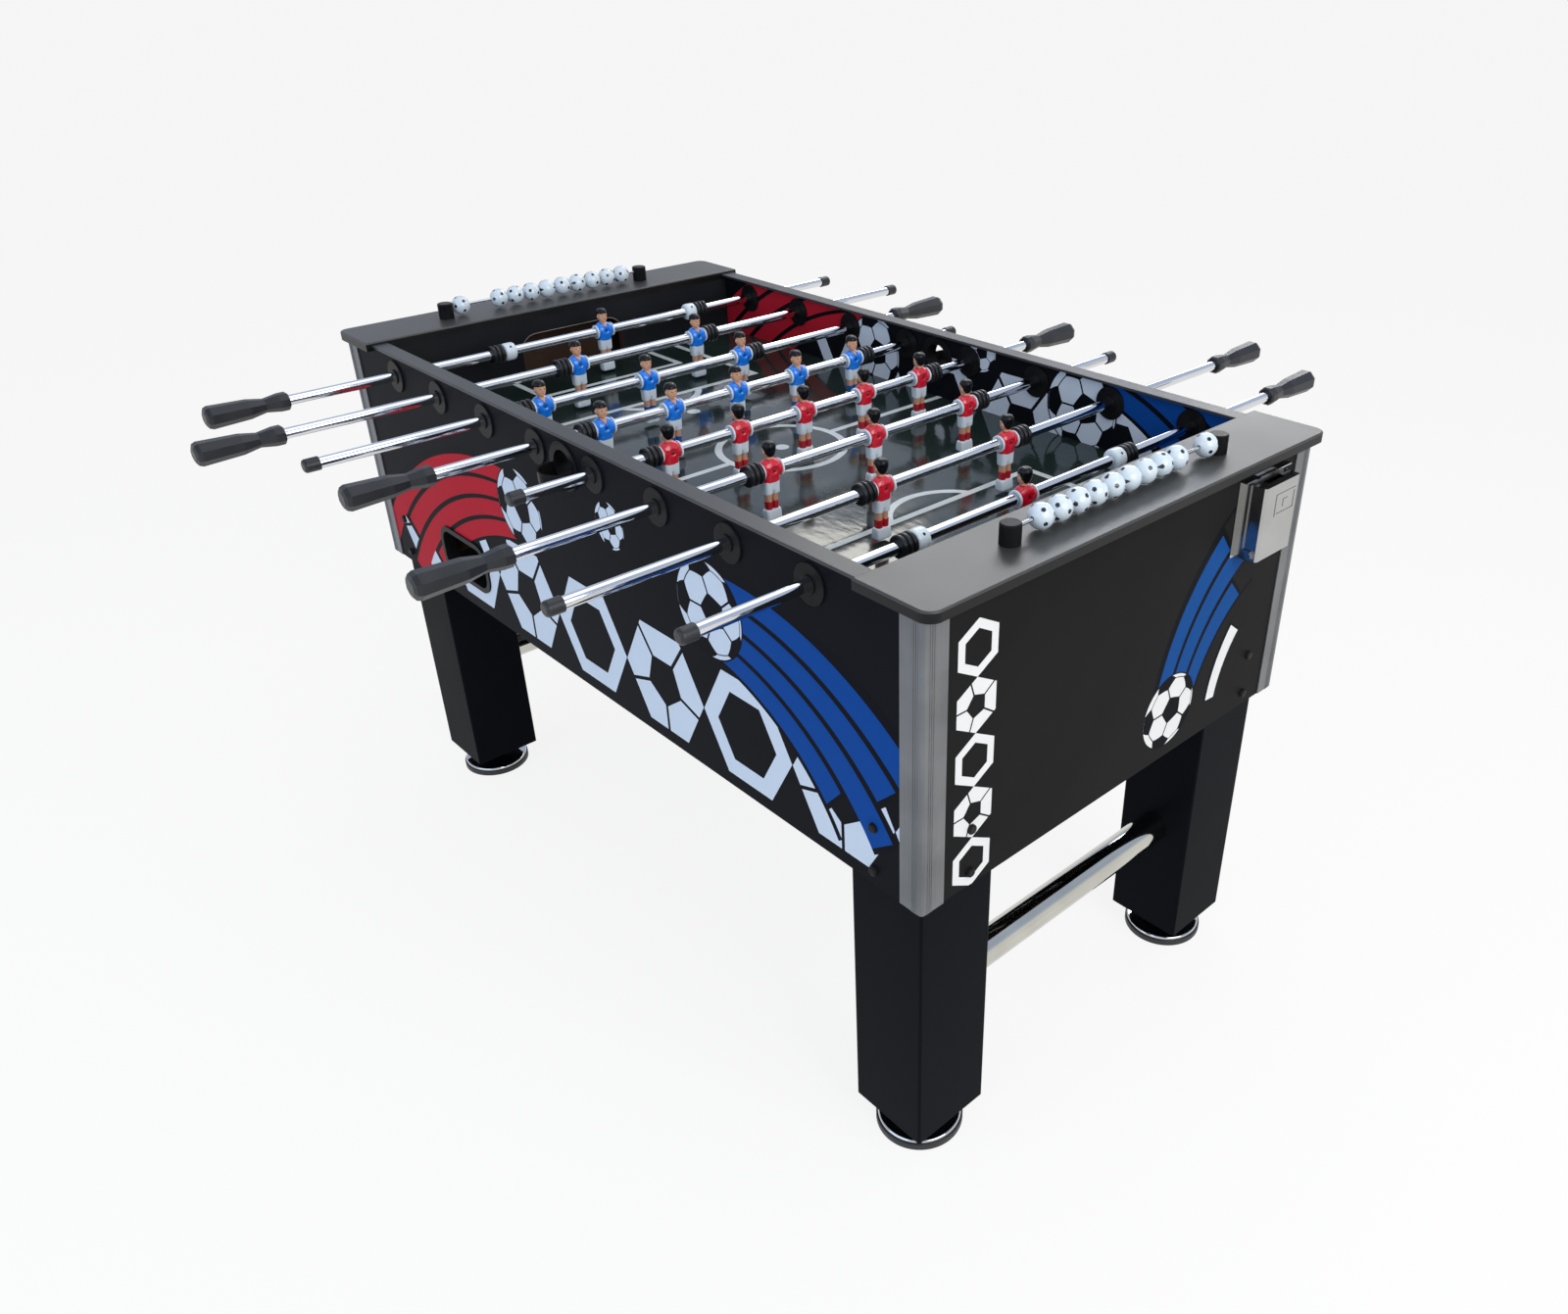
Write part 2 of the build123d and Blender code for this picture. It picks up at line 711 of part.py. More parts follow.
def figure():
    sole = -sqrt(figure_reach**2 - (sole_depth / 2) ** 2)
    half_width = figure_width / 2
    body = tapered(
        [
            (-hem_drop, waist_depth, waist_width, figure_round),
            (0, chest_depth, waist_width, figure_round),
            (shoulder_rise, shoulder_depth, waist_width, figure_round),
        ]
    )
    body += tapered(
        [
            (-shorts_drop, waist_depth, shorts_width, figure_round),
            (-hem_drop, waist_depth, waist_width, figure_round),
        ]
    )
    body += block(
        -shin_depth / 2, shin_depth / 2, -shin_width / 2, shin_width / 2, -ankle_drop, -shorts_drop
    )
    body += tapered(
        [
            (sole, sole_depth, sole_width, figure_round),
            (-ankle_drop, shin_depth, shin_width, figure_round),
        ]
    )
    body += round_y(cuff_radius, -half_width, half_width)
    body += round_z(neck_radius, 0, head_rise)
    body += Pos(0, 0, head_rise) * Sphere(head_radius)
    return whole(body - round_y(rod_radius, -half_width, half_width))


def bumper():
    body = round_y(bumper_core, -bumper_length / 2, bumper_length / 2)
    spread = bumper_length / 2 - bumper_ring / 2
    for middle in (-spread, 0, spread):
        ring = round_y(bumper_radius, middle - bumper_ring / 2, middle + bumper_ring / 2)
        body += fillet(ring.edges().filter_by(GeomType.CIRCLE), bumper_round)
    return whole(body - round_y(rod_radius + running_fit, -bumper_length / 2, bumper_length / 2))


def stop_collar():
    half = collar_length / 2
    ring = round_y(collar_radius, -half, half)
    ring = fillet(ring.edges().filter_by(GeomType.CIRCLE), collar_round)
    return whole(ring - round_y(rod_radius, -half, half))


# Grips: eight-sided handles with a flared neck, a waist and a swelling body
def grip():
    bevel = grip_round * (1 - sqrt(0.5))
    stations = [
        (0, grip_neck - grip_lip),
        (grip_lip, grip_neck),
        (grip_neck_length, grip_neck),
        (grip_waist_at, grip_waist),
        (grip_swell_at, grip_swell),
        (grip_length - grip_round, grip_butt),
        (grip_length - bevel, grip_butt - bevel),
        (grip_length, grip_butt - grip_round),
    ]
    flats = [
        Plane(origin=(0, y, 0), x_dir=(1, 0, 0), z_dir=(0, 1, 0))
        * RegularPolygon(r, grip_sides, rotation=180 / grip_sides)
        for y, r in stations
    ]
    return whole(loft(flats, ruled=True) - round_y(rod_radius, 0, grip_socket))


def end_cap():
    cap = rounded_disc(cap_radius, -cap_length, 0, 0, cap_round)
    return whole(cap - round_y(rod_radius, -cap_socket, 0))


def bumper_place(rod):
    figures = rod["figures"]
    if figures == 1:
        return keeper_stop
    outermost = (figures - 1) / 2 * figure_pitch[figures]
    return outermost + figure_width / 2 + side_gap + bumper_length / 2


one_figure = figure()
one_bumper = bumper()
one_collar = stop_collar()
one_grip = grip()
one_cap = end_cap()


def save_rod(number, x, rod):
    stop = bumper_place(rod)
    travel = y_stop - stop - bumper_length / 2
    grip_at = y_outside + travel + rod["grip_spare"]
    tail_at = y_outside + travel + rod["tail_spare"]
    place = Pos(x, rod["rest"] * travel, z_rod)
    facing = place if rod["side"] > 0 else place * Rot(0, 0, 180)
    tail_end = -tail_at - cap_socket
    tube = round_y(rod_radius, tail_end, grip_at + grip_socket)
    tube -= round_y(rod_radius - rod_wall, tail_end, grip_at + grip_socket)
    figures = rod["figures"]
    first = -(figures - 1) / 2 * figure_pitch[figures]
    team = [Pos(0, first + i * figure_pitch[figures], 0) * one_figure for i in range(figures)]
    if figures == 1:
        collar_at = stop - bumper_length / 2 - side_gap - collar_length / 2
        team += [Pos(0, side * collar_at, 0) * one_collar for side in ends]
    save(f"rod_{number}_tube", [whole(facing * tube)])
    save(f"rod_{number}_figures", [place * piece for piece in team])
    ends_of_rod = [facing * Pos(0, grip_at, 0) * one_grip, facing * Pos(0, -tail_at, 0) * one_cap]
    save(f"rod_{number}_grip", ends_of_rod)
    save(f"rod_{number}_bumpers", [place * Pos(0, side * stop, 0) * one_bumper for side in ends])


for number, (x, rod) in enumerate(zip(rod_places, rods), start=1):
    save_rod(number, x, rod)
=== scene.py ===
import json
import bpy
import numpy as np
from mathutils import Matrix, Vector


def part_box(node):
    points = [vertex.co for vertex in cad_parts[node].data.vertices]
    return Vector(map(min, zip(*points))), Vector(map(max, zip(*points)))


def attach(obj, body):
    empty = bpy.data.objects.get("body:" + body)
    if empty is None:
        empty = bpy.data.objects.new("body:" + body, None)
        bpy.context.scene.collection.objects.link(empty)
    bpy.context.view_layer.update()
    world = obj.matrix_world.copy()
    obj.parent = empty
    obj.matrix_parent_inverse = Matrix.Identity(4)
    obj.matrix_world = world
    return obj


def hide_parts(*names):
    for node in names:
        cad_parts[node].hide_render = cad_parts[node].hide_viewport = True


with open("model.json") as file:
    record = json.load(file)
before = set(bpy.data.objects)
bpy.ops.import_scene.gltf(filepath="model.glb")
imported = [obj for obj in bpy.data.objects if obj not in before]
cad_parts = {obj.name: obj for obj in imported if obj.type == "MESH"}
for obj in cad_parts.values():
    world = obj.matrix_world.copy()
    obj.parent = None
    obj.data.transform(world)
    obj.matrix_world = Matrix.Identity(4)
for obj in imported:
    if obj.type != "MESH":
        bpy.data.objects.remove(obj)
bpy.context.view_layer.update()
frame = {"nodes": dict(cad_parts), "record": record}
nodes = frame["nodes"]
scene = bpy.context.scene
scene.view_settings.view_transform = "Standard"
print("frame loaded,", len(nodes), "nodes")


def middleOf(node):
    low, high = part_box(node)
    return (low + high) / 2


# a shader socket: expressions on it add Math nodes, node() adds any other node
class Sock:
    def __init__(self, tree, link=None):
        self.tree, self.link = tree, link

    def node(self, kind, settings=None, values=None, out=0):
        made = self.tree.nodes.new(kind)
        for key, value in (settings or {}).items():
            setattr(made, key, value)
        for key, value in (values or {}).items():
            if isinstance(value, Sock):
                self.tree.links.new(value.link, made.inputs[key])
            else:
                made.inputs[key].default_value = value
        return Sock(self.tree, made.outputs[out])

    def math(self, operation, *others):
        return self.node("ShaderNodeMath", {"operation": operation}, dict(enumerate((self, *others))))

    def swapped(self, operation, other):
        return self.node("ShaderNodeMath", {"operation": operation}, {0: other, 1: self})

    def __add__(self, other): return self.math("ADD", other)
    def __radd__(self, other): return self.math("ADD", other)
    def __sub__(self, other): return self.math("SUBTRACT", other)
    def __rsub__(self, other): return self.swapped("SUBTRACT", other)
    def __mul__(self, other): return self.math("MULTIPLY", other)
    def __rmul__(self, other): return self.math("MULTIPLY", other)
    def __truediv__(self, other): return self.math("DIVIDE", other)
    def __rtruediv__(self, other): return self.swapped("DIVIDE", other)
    def __lt__(self, other): return self.math("LESS_THAN", other)
    def __gt__(self, other): return self.math("GREATER_THAN", other)
    def __and__(self, other): return self.math("MINIMUM", other)
    def __or__(self, other): return self.math("MAXIMUM", other)
    def __abs__(self): return self.math("ABSOLUTE")

    def axes(self):
        return [self.node("ShaderNodeSeparateXYZ", None, {0: self}, out=i) for i in range(3)]

    def noise(self, scale, detail=3, rough=0.5, stretch=None):
        place = self
        if stretch:
            place = self.node("ShaderNodeMapping", None, {"Vector": self, "Scale": stretch})
        values = {"Vector": place, "Scale": scale, "Detail": detail, "Roughness": rough}
        return self.node("ShaderNodeTexNoise", None, values)

    def ramp(self, low, high, a=0.0, b=1.0):
        return self.node("ShaderNodeMapRange", None, {0: self, 1: low, 2: high, 3: a, 4: b})

    # a noise mostly lies from 0.3 to 0.7, which is spread from a to b
    def spread(self, a=0.0, b=1.0):
        return self.ramp(0.3, 0.7, a, b)

    def tint(self, dark, light):
        values = {0: self, 6: shade(dark), 7: shade(light)}
        return self.node("ShaderNodeMix", {"data_type": "RGBA"}, values, out=2)

    def bump(self, strength, distance):
        return self.node("ShaderNodeBump", None, {"Height": self, "Strength": strength, "Distance": distance})


def shade(value):
    return value if isinstance(value, Sock) or len(value) == 4 else (*value, 1)


def length(a, b):
    return (a * a + b * b).math("SQRT")


# one material: paint(place) gives what changes over the surface, fixed gives the rest
def makeFinish(name, paint, fixed, coords="Object"):
    made = bpy.data.materials.new(name)
    made.use_nodes = True
    tree = made.node_tree
    shader = tree.nodes["Principled BSDF"]
    for key, value in fixed.items():
        shader.inputs[key].default_value = value
    start = Sock(tree)
    if coords == "Object":
        place = start.node("ShaderNodeTexCoord", out="Object")
    else:
        place = start.node("ShaderNodeAttribute", {"attribute_name": coords}, out="Vector")
    for key, value in paint(place).items():
        tree.links.new(value.link, shader.inputs[key])
    return made


# coloured board, plastic or rubber: slow colour drift, fine grain, patchy gloss
def plainPaint(dark, light, rough, grain, grainHeight, patch=6.0):
    def paint(place):
        drift = place.noise(patch, 4)
        fine = place.noise(grain, 2)
        return {
            "Base Color": drift.spread().tint(dark, light),
            "Roughness": (drift * 0.5 + fine * 0.5).spread(rough - 0.06, rough + 0.06),
            "Normal": fine.bump(0.35, grainHeight),
        }
    return paint


# metal: long fine scratches along one axis and soft smears
def metalPaint(dark, light, rough, stretch, scratch=0.0):
    def paint(place):
        lines = place.noise(1.0, 3, 0.6, stretch)
        smears = place.noise(14.0, 3)
        mixed = lines * 0.4 + smears * 0.6
        varied = {
            "Base Color": mixed.ramp(0.35, 0.65).tint(dark, light),
            "Roughness": mixed.spread(*rough),
        }
        if scratch:
            varied["Normal"] = lines.bump(scratch, 0.0002)
        return varied
    return paint


# wall prints, in metres: a generic football pattern in white, red and blue on black
printSet = {
    # painted light and shade: the long walls' black and white are darker and bluer, as painted shade, and the
    # end walls' black is lighter, as painted light
    "black": (0.0056, 0.0064, 0.0092), "shadedBlackWorn": (0.0078, 0.0086, 0.0116),
    "endBlackLit": (0.0105, 0.0105, 0.0108), "endWorn": (0.0145, 0.0145, 0.0145),
    "white": (0.66, 0.74, 0.86), "endWhite": (0.78, 0.79, 0.80),
    "red": (0.50, 0.016, 0.034), "blue": (0.006, 0.066, 0.31), "endBlue": (0.008, 0.070, 0.27),
    "foot": 0.479, "turn": 0.42, "seam": 0.022, "patchEdge": 0.0088, "rim": 0.93,
    "fiveFace": 2.3274, "threeFace": 2.2673, "cellPatch": 0.42, "cellSeam": 0.035,
    "stripe": 0.80, "stripeStep": 0.618, "stripeShort": 0.30, "outline": 0.54, "outlineEnd": 0.02,
}


# football: a direction is folded into one corner of an icosahedron, where patches and seams are planes;
# edge is positive inside a five-sided patch
def footballFold(x, y, z):
    half = np.cos(np.pi / 5)
    last = np.sqrt(0.75 - half * half)
    for _ in range(4):
        x, y = abs(x), abs(y)
        push = (x * -0.5 + y * -half + z * last) & 0.0
        x, y, z = x + push, y + push * (2 * half), z + push * (-2 * last)
    five = np.array([last, 0.5]) / np.hypot(last, 0.5)
    three = np.array([last, half]) / np.hypot(last, half)
    toFive = (x * five[0] + z * five[1]) / printSet["fiveFace"]
    toThree = (y * three[0] + z * three[1]) / printSet["threeFace"]
    return toFive - toThree, abs(y)


# a ball printed flat: (u, v) run over its disc, the third coordinate is the height of the dome
def printedBall(colour, u, v, radius, white):
    p, q = u / radius, v / radius
    flat = p * p + q * q
    dome = ((1.0 - flat) | 0.0).math("SQRT")
    turn, seam = printSet["turn"], printSet["seam"]
    x = p * np.cos(turn) + dome * np.sin(turn)
    z = dome * np.cos(turn) - p * np.sin(turn)
    edge, side = footballFold(x, q, z)
    dark = (edge > 0.0) | (side < seam) | (abs(edge) < printSet["patchEdge"]) | (flat > printSet["rim"])
    ball = dark.tint(white, printSet["black"])
    return (flat < 1.0).tint(colour, ball)


# speed stripes behind a ball: a band about a far point that widens with the angle,
# each stripe with its own end
def speedStripes(colour, ink, a, b, bend, start, sweep, widths, stripes):
    x, y, radius = bend
    u, v = a - x, b - y
    along = (v.math("ARCTAN2", u) - start) / sweep
    room = along * (widths[1] - widths[0]) + widths[0]
    off = (length(u, v) - radius) / room
    turns = (off + 0.5) * stripes
    number = turns.math("FLOOR")
    short = printSet["stripeShort"]
    last = (number * printSet["stripeStep"]).math("FRACT") * short + (1 - short)
    band = (abs(off) < 0.5) & (along > 0.0) & (along < last)
    outline = (abs(off) < printSet["outline"]) & (along > 0.0) & (along < last + printSet["outlineEnd"])
    colour = outline.tint(colour, printSet["black"])
    return (band & ((turns - number) < printSet["stripe"])).tint(colour, ink)


# a row of six-sided cells: wide rings, and between them full cells with a five-sided patch and seams;
# before keeps the count of cells positive, and far, longer than any cell, puts a seam out of reach
def cellRow(a, b, pitch, size, wall):
    before, far = 50, 9.0
    turns = a / pitch + (before + 0.5)
    cell = turns.math("FLOOR")
    u, v = (turns - cell - 0.5) * pitch, b
    reach = abs(v) | (abs(u) * np.cos(np.pi / 6) + abs(v) * 0.5)
    odd = (cell * 0.5).math("FRACT") > 0.25
    patch = v
    seams = abs(u) + far
    for k in range(5):
        angle = np.pi / 2 + k * np.pi * 0.4
        across, down = np.cos(angle), np.sin(angle)
        patch = patch | (u * across + v * down)
        spoke = abs(u * down - v * across) + ((u * -across - v * down) < 0.0) * far
        seams = seams & spoke
    full = (reach < size) & (patch > size * printSet["cellPatch"]) & (seams > size * printSet["cellSeam"])
    ring = (reach < size) & (reach > size - wall)
    return odd * full + (1.0 - odd) * ring


# slow drift and fine grain of a laminate
def wallGrain(place):
    return place.noise(5.0, 4), place.noise(900.0, 2)


sideSet = {
    "inside": 0.366, "lift": 0.19, "ballDrop": 0.10,
    "rowStart": 0.01, "rowHeight": 0.100, "row": {"pitch": 0.186, "size": 0.080, "wall": 0.027},
    "red": {"bend": (-0.16, -0.31, 0.56), "start": np.pi / 2 - 0.04, "sweep": 1.12,
            "widths": (0.11, 0.22), "stripes": 4},
    "blue": {"bend": (0.32, -0.17, 0.43), "start": np.pi / 2 + 0.04, "sweep": -1.10,
             "widths": (0.12, 0.24), "stripes": 4},
    "balls": [(-0.16, 0.250, 0.066), (0.10, 0.305, 0.036), (0.32, 0.260, 0.070)], "ballFrom": (0.02, 0.20),
}


# gloss and grain of the printed walls
def laminate(colour, drift, fine):
    return {
        "Base Color": colour,
        "Roughness": (drift * 0.6 + fine * 0.4).spread(0.36, 0.46),
        "Normal": fine.bump(0.25, 0.00012),
    }


# long walls: a row of cells along the foot and three balls, two of them with stripes;
# the inner faces show the same design, lifted to the field
def sidePrint(place):
    a, deep, z = place.axes()
    s = sideSet
    inside = abs(deep) < s["inside"]
    b = z - printSet["foot"] - inside * s["lift"]
    drift, fine = wallGrain(place)
    # painted shade: the long walls take the darker, bluer black and white of the print
    colour = drift.spread().tint(printSet["black"], printSet["shadedBlackWorn"])
    row = cellRow(a - s["rowStart"], b - s["rowHeight"], **s["row"])
    colour = row.tint(colour, printSet["white"])
    colour = speedStripes(colour, printSet["red"], a, b, **s["red"])
    colour = speedStripes(colour, printSet["blue"], a, b, **s["blue"])
    second, third = (a > start for start in s["ballFrom"])
    across, height, radius = (second * (q - p) + third * (r - q) + p for p, q, r in zip(*s["balls"]))
    colour = printedBall(colour, a - across, b - (height - inside * s["ballDrop"]), radius, printSet["white"])
    return laminate(colour, drift, fine)


endSet = {
    "rowStart": 0.035, "rowSide": -0.292, "rowTop": 0.3675,
    "row": {"pitch": 0.074, "size": 0.032, "wall": 0.011},
    "blue": {"bend": (0.40, 0.03, 0.30), "start": np.pi - 0.10, "sweep": -1.05,
             "widths": (0.09, 0.15), "stripes": 3},
    "white": {"bend": (0.40, 0.03, 0.20), "start": np.pi - 0.10, "sweep": -0.80,
              "widths": (0.025, 0.035), "stripes": 1},
    "ball": (0.10, 0.075), "ballRadius": 0.058,
    # board and boardPale are bare board darkened as painted shade of the cabinet's inside
    "bareFrom": 0.6875, "board": (0.075, 0.045, 0.034), "boardPale": (0.11, 0.070, 0.052), "bareRough": 0.4,
}


# end walls: a column of cells, a ball with its stripes, and bare board inside the cabinet, its colour darkened
# as painted shade
def endPrint(place):
    deep, a, z = place.axes()
    s = endSet
    b = z - printSet["foot"]
    drift, fine = wallGrain(place)
    # painted light: the end walls take the lighter black of the print
    colour = drift.spread().tint(printSet["endBlackLit"], printSet["endWorn"])
    row = cellRow(b - s["rowStart"], a - s["rowSide"], **s["row"]) & (b > 0.0) & (b < s["rowTop"])
    colour = row.tint(colour, printSet["endWhite"])
    colour = speedStripes(colour, printSet["endBlue"], a, b, **s["blue"])
    colour = speedStripes(colour, printSet["endWhite"], a, b, **s["white"])
    across, height = s["ball"]
    colour = printedBall(colour, a - across, b - height, s["ballRadius"], printSet["endWhite"])
    bare = abs(deep) < s["bareFrom"]
    # painted shade: the bare board inside the cabinet is darkened
    board = place.noise(160.0, 5).tint(s["board"], s["boardPale"])
    varied = laminate(bare.tint(colour, board), drift, fine)
    varied["Roughness"] = varied["Roughness"] + bare * s["bareRough"]
    return varied


fieldSet = {
    "deep": (0.010, 0.018, 0.018), "pale": (0.020, 0.033, 0.031), "line": (0.66, 0.73, 0.77), "thin": 0.0058,
    "shift": 0.008, "circle": 0.100, "spot": 0.0115, "kick": 0.238, "box": 0.335, "boxSide": 0.207,
    "smallBox": 0.486, "smallSide": 0.144, "arcAt": 0.376, "arc": 0.089,
}


# field print: each white line is a distance from a line, box or circle about the middle of the board
def fieldPrint(place):
    x, y, _ = place.axes()
    s = fieldSet
    thin = s["thin"]
    x = x - s["shift"]
    far, wide = abs(x), abs(y)
    fromMid = length(x, y)
    lines = (far < thin) & (fromMid > s["circle"])
    lines = lines | (abs(fromMid - s["circle"]) < thin) | (fromMid < s["spot"])
    lines = lines | (length(far - s["kick"], y) < s["spot"])
    for front, side in ((s["box"], s["boxSide"]), (s["smallBox"], s["smallSide"])):
        cross = (abs(far - front) < thin) & (wide < side + thin)
        along = (abs(wide - side) < thin) & (far > front)
        lines = lines | cross | along
    lines = lines | ((abs(length(far - s["arcAt"], y) - s["arc"]) < thin) & (far < s["box"]))
    drift = place.noise(7.0, 4)
    wave = place.noise(26.0, 2, 0.5, (1.0, 2.2, 1.0))
    ground = drift.spread().tint(s["deep"], s["pale"])
    return {
        "Base Color": lines.tint(ground, s["line"]),
        "Roughness": drift.spread(0.07, 0.13),
        "Normal": wave.bump(0.13, 0.0014),
    }


goalSet = {
    "half": 0.106, "top": 0.847, "corner": 0.030,
    "cut": 0.0004, "highlightLip": 0.0013, "highlightLipDrop": 0.024, "cutRough": 0.4,
    "black": (0.013, 0.014, 0.017), "worn": (0.019, 0.020, 0.023),
    # edge is the pale colour along the top of the mouth, a painted highlight; board is bare board darkened as
    # painted shade
    "board": (0.075, 0.045, 0.034), "edge": (0.34, 0.32, 0.30),
}


# goal wall: black laminate, a thin pale line along the top of the mouth as a painted highlight, bare board on
# the cut, its colour darkened as painted shade
def goalPrint(place):
    _, y, z = place.axes()
    s = goalSet
    drift, fine = wallGrain(place)
    u = (abs(y) - (s["half"] - s["corner"])) | 0.0
    v = (z - (s["top"] - s["corner"])) | 0.0
    off = length(u, v) - s["corner"]
    cut = off < s["cut"]
    # painted highlight: a thin pale line along the top edge of the mouth
    highlightLip = (off < s["highlightLip"]) & (z > s["top"] - s["highlightLipDrop"])
    colour = drift.spread().tint(s["black"], s["worn"])
    colour = cut.tint(highlightLip.tint(colour, s["edge"]), s["board"])
    return {
        "Base Color": colour,
        "Roughness": fine.spread(0.36, 0.46) + cut * s["cutRough"],
        "Normal": fine.bump(0.25, 0.00012),
    }


railSet = {
    # edge and the metal share darken the upright faces of the end rails as painted shade
    "endFrom": 0.6045, "top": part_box("top_rails")[1][2], "round": 0.0025, "edge": 0.35, "edgeShadeMetal": 0.7,
    "end": (0.031, 0.032, 0.032), "endWorn": (0.041, 0.041, 0.039),
    "strip": (0.019, 0.0195, 0.023), "stripWorn": (0.027, 0.0275, 0.031),
}


# rails: grey laminate on the ends with their upright faces darkened as painted shade, darker strips along the
# sides
def railPaint(place):
    x, _, z = place.axes()
    s = railSet
    drift, fine = wallGrain(place)
    worn = drift.spread()
    onEnd = abs(x) > s["endFrom"]
    # painted shade: below the rounded top the end rails take a darker colour and part metal, so they reflect
    # less
    shadedEdge = onEnd & (z < s["top"] - s["round"])
    colour = onEnd.tint(worn.tint(s["strip"], s["stripWorn"]), worn.tint(s["end"], s["endWorn"]))
    colour = shadedEdge.tint(colour, [c * s["edge"] for c in s["end"]])
    return {
        "Base Color": colour,
        "Roughness": (drift * 0.5 + fine * 0.5).spread(0.34, 0.46),
        "Metallic": shadedEdge * s["edgeShadeMetal"],
        "Normal": fine.bump(0.3, 0.00015),
    }


footSet = {
    "rubberTop": 0.0101, "rubber": (0.012, 0.012, 0.013), "rubberRough": 0.45,
    "chrome": (0.50, 0.50, 0.50), "chromeLight": (0.62, 0.62, 0.62),
}


# levelling foot: black rubber up to its top edge, chromed plate above it
def footPaint(place):
    s = footSet
    plate = place.axes()[2] > s["rubberTop"]
    smears = place.noise(30.0, 3)
    chrome = smears.spread().tint(s["chrome"], s["chromeLight"])
    return {
        "Base Color": plate.tint(s["rubber"], chrome),
        "Metallic": plate,
        "Roughness": smears.spread(0.04, 0.09) + (1.0 - plate) * s["rubberRough"],
        "Normal": place.noise(400.0, 2).bump(0.08, 0.0002),
    }


beadSet = {
    # white is tinted blue as painted cool shade
    "white": (0.68, 0.79, 0.89), "patch": (0.012, 0.014, 0.022), "dot": 0.033,
    "radius": 0.016, "bore": 0.0027, "pitch": 0.0324, "turn": 1.53, "tip": 0.5, "tipShare": 0.37,
}


# bead: a white ball with a small dark patch at each of the twelve corners
def beadPaint(place):
    edge = footballFold(*place.axes())[0]
    return {
        "Base Color": (edge > beadSet["dot"]).tint(beadSet["white"], beadSet["patch"]),
        "Roughness": place.noise(3.0, 2).spread(0.16, 0.24),
        "Normal": edge.ramp(0.0, beadSet["dot"], 1.0, 0.0).bump(0.15, 0.0003),
    }


satin = {"Specular IOR Level": 0.02}
soft = {"Specular IOR Level": 0.06}
rubber = {"Specular IOR Level": 0.3}
handle = {"Specular IOR Level": 0.4}
laminated = {"Specular IOR Level": 0.5}
metal = {"Metallic": 1.0}
dullMetal = {"Metallic": 0.25}
alongRod = (900.0, 6.0, 900.0)

# name, fixed values and paint of each finish; grain and patch count the noise to the metre
plainLooks = {
    # the bare board's brown is darkened as painted shade of the cabinet's inside
    "raw_board": ("bareBoardShaded", satin, {
        "dark": (0.05, 0.031, 0.022), "light": (0.08, 0.05, 0.035),
        "rough": 0.8, "grain": 500.0, "grainHeight": 0.0004, "patch": 40.0}),
    "leg_laminate": ("legLaminate", satin, {
        "dark": (0.0042, 0.0050, 0.0074), "light": (0.0060, 0.0068, 0.0092),
        "rough": 0.42, "grain": 800.0, "grainHeight": 0.00015}),
    "black_steel": ("blackBolt", soft, {
        "dark": (0.010, 0.010, 0.011), "light": (0.022, 0.022, 0.022),
        "rough": 0.36, "grain": 900.0, "grainHeight": 0.0001, "patch": 60.0}),
    "black_plastic": ("mouldedBlack", soft, {
        "dark": (0.007, 0.007, 0.008), "light": (0.012, 0.012, 0.013),
        "rough": 0.30, "grain": 1100.0, "grainHeight": 0.0002, "patch": 50.0}),
    "bumper_rubber": ("bumperRubber", rubber, {
        "dark": (0.008, 0.009, 0.011), "light": (0.014, 0.015, 0.017),
        "rough": 0.34, "grain": 900.0, "grainHeight": 0.0002, "patch": 60.0}),
    "grip_plastic": ("gripPlastic", handle, {
        "dark": (0.011, 0.012, 0.015), "light": (0.018, 0.019, 0.022),
        "rough": 0.38, "grain": 1200.0, "grainHeight": 0.0003, "patch": 30.0}),
}
metalLooks = {
    "chrome_tube": ("polishedChrome", metal, {
        "dark": (0.66, 0.67, 0.69), "light": (0.76, 0.76, 0.77),
        "rough": (0.04, 0.07), "stretch": alongRod}),
    "satin_aluminium": ("satinAluminium", dullMetal, {
        "dark": (0.115, 0.12, 0.128), "light": (0.185, 0.19, 0.198),
        "rough": (0.36, 0.48), "stretch": (700.0, 700.0, 4.0), "scratch": 0.10}),
    "steel_wire": ("drawnWire", metal, {
        "dark": (0.50, 0.50, 0.50), "light": (0.65, 0.65, 0.65),
        "rough": (0.14, 0.24), "stretch": (900.0, 5.0, 900.0)}),
    "bin_steel": ("binSteel", metal, {
        "dark": (0.40, 0.40, 0.39), "light": (0.47, 0.47, 0.46),
        "rough": (0.16, 0.24), "stretch": (8.0, 500.0, 500.0), "scratch": 0.02}),
    # the stretcher's chrome is tinted darker and tan as a painted reflection
    "stretcher_tubes": ("stretcherChromePaintedReflection", metal, {
        "dark": (0.50, 0.49, 0.44), "light": (0.60, 0.59, 0.53),
        "rough": (0.05, 0.09), "stretch": alongRod}),
}

# a finish for each material slot, and for the nodes that differ from their slot
endFinish = makeFinish("endWallPrint", endPrint, satin)
finishes = {
    "panel_laminate": makeFinish("sideWallPrint", sidePrint, satin),
    "left_end_panel": endFinish,
    "right_end_panel": endFinish,
    "goal_wall_laminate": makeFinish("goalWallLaminate", goalPrint, satin),
    "field_print": makeFinish("fieldPrint", fieldPrint, {}),
    "rail_laminate": makeFinish("railLaminate", railPaint, laminated),
    "foot_chrome": makeFinish("footChrome", footPaint, {}),
}
for looks, paint in ((plainLooks, plainPaint), (metalLooks, metalPaint)):
    for slot, (name, fixed, values) in looks.items():
        finishes[slot] = makeFinish(name, paint(**values), fixed)
beadFinish = makeFinish("beadPaint", beadPaint, {"Coat Weight": 0.3}, coords="piecePlace")
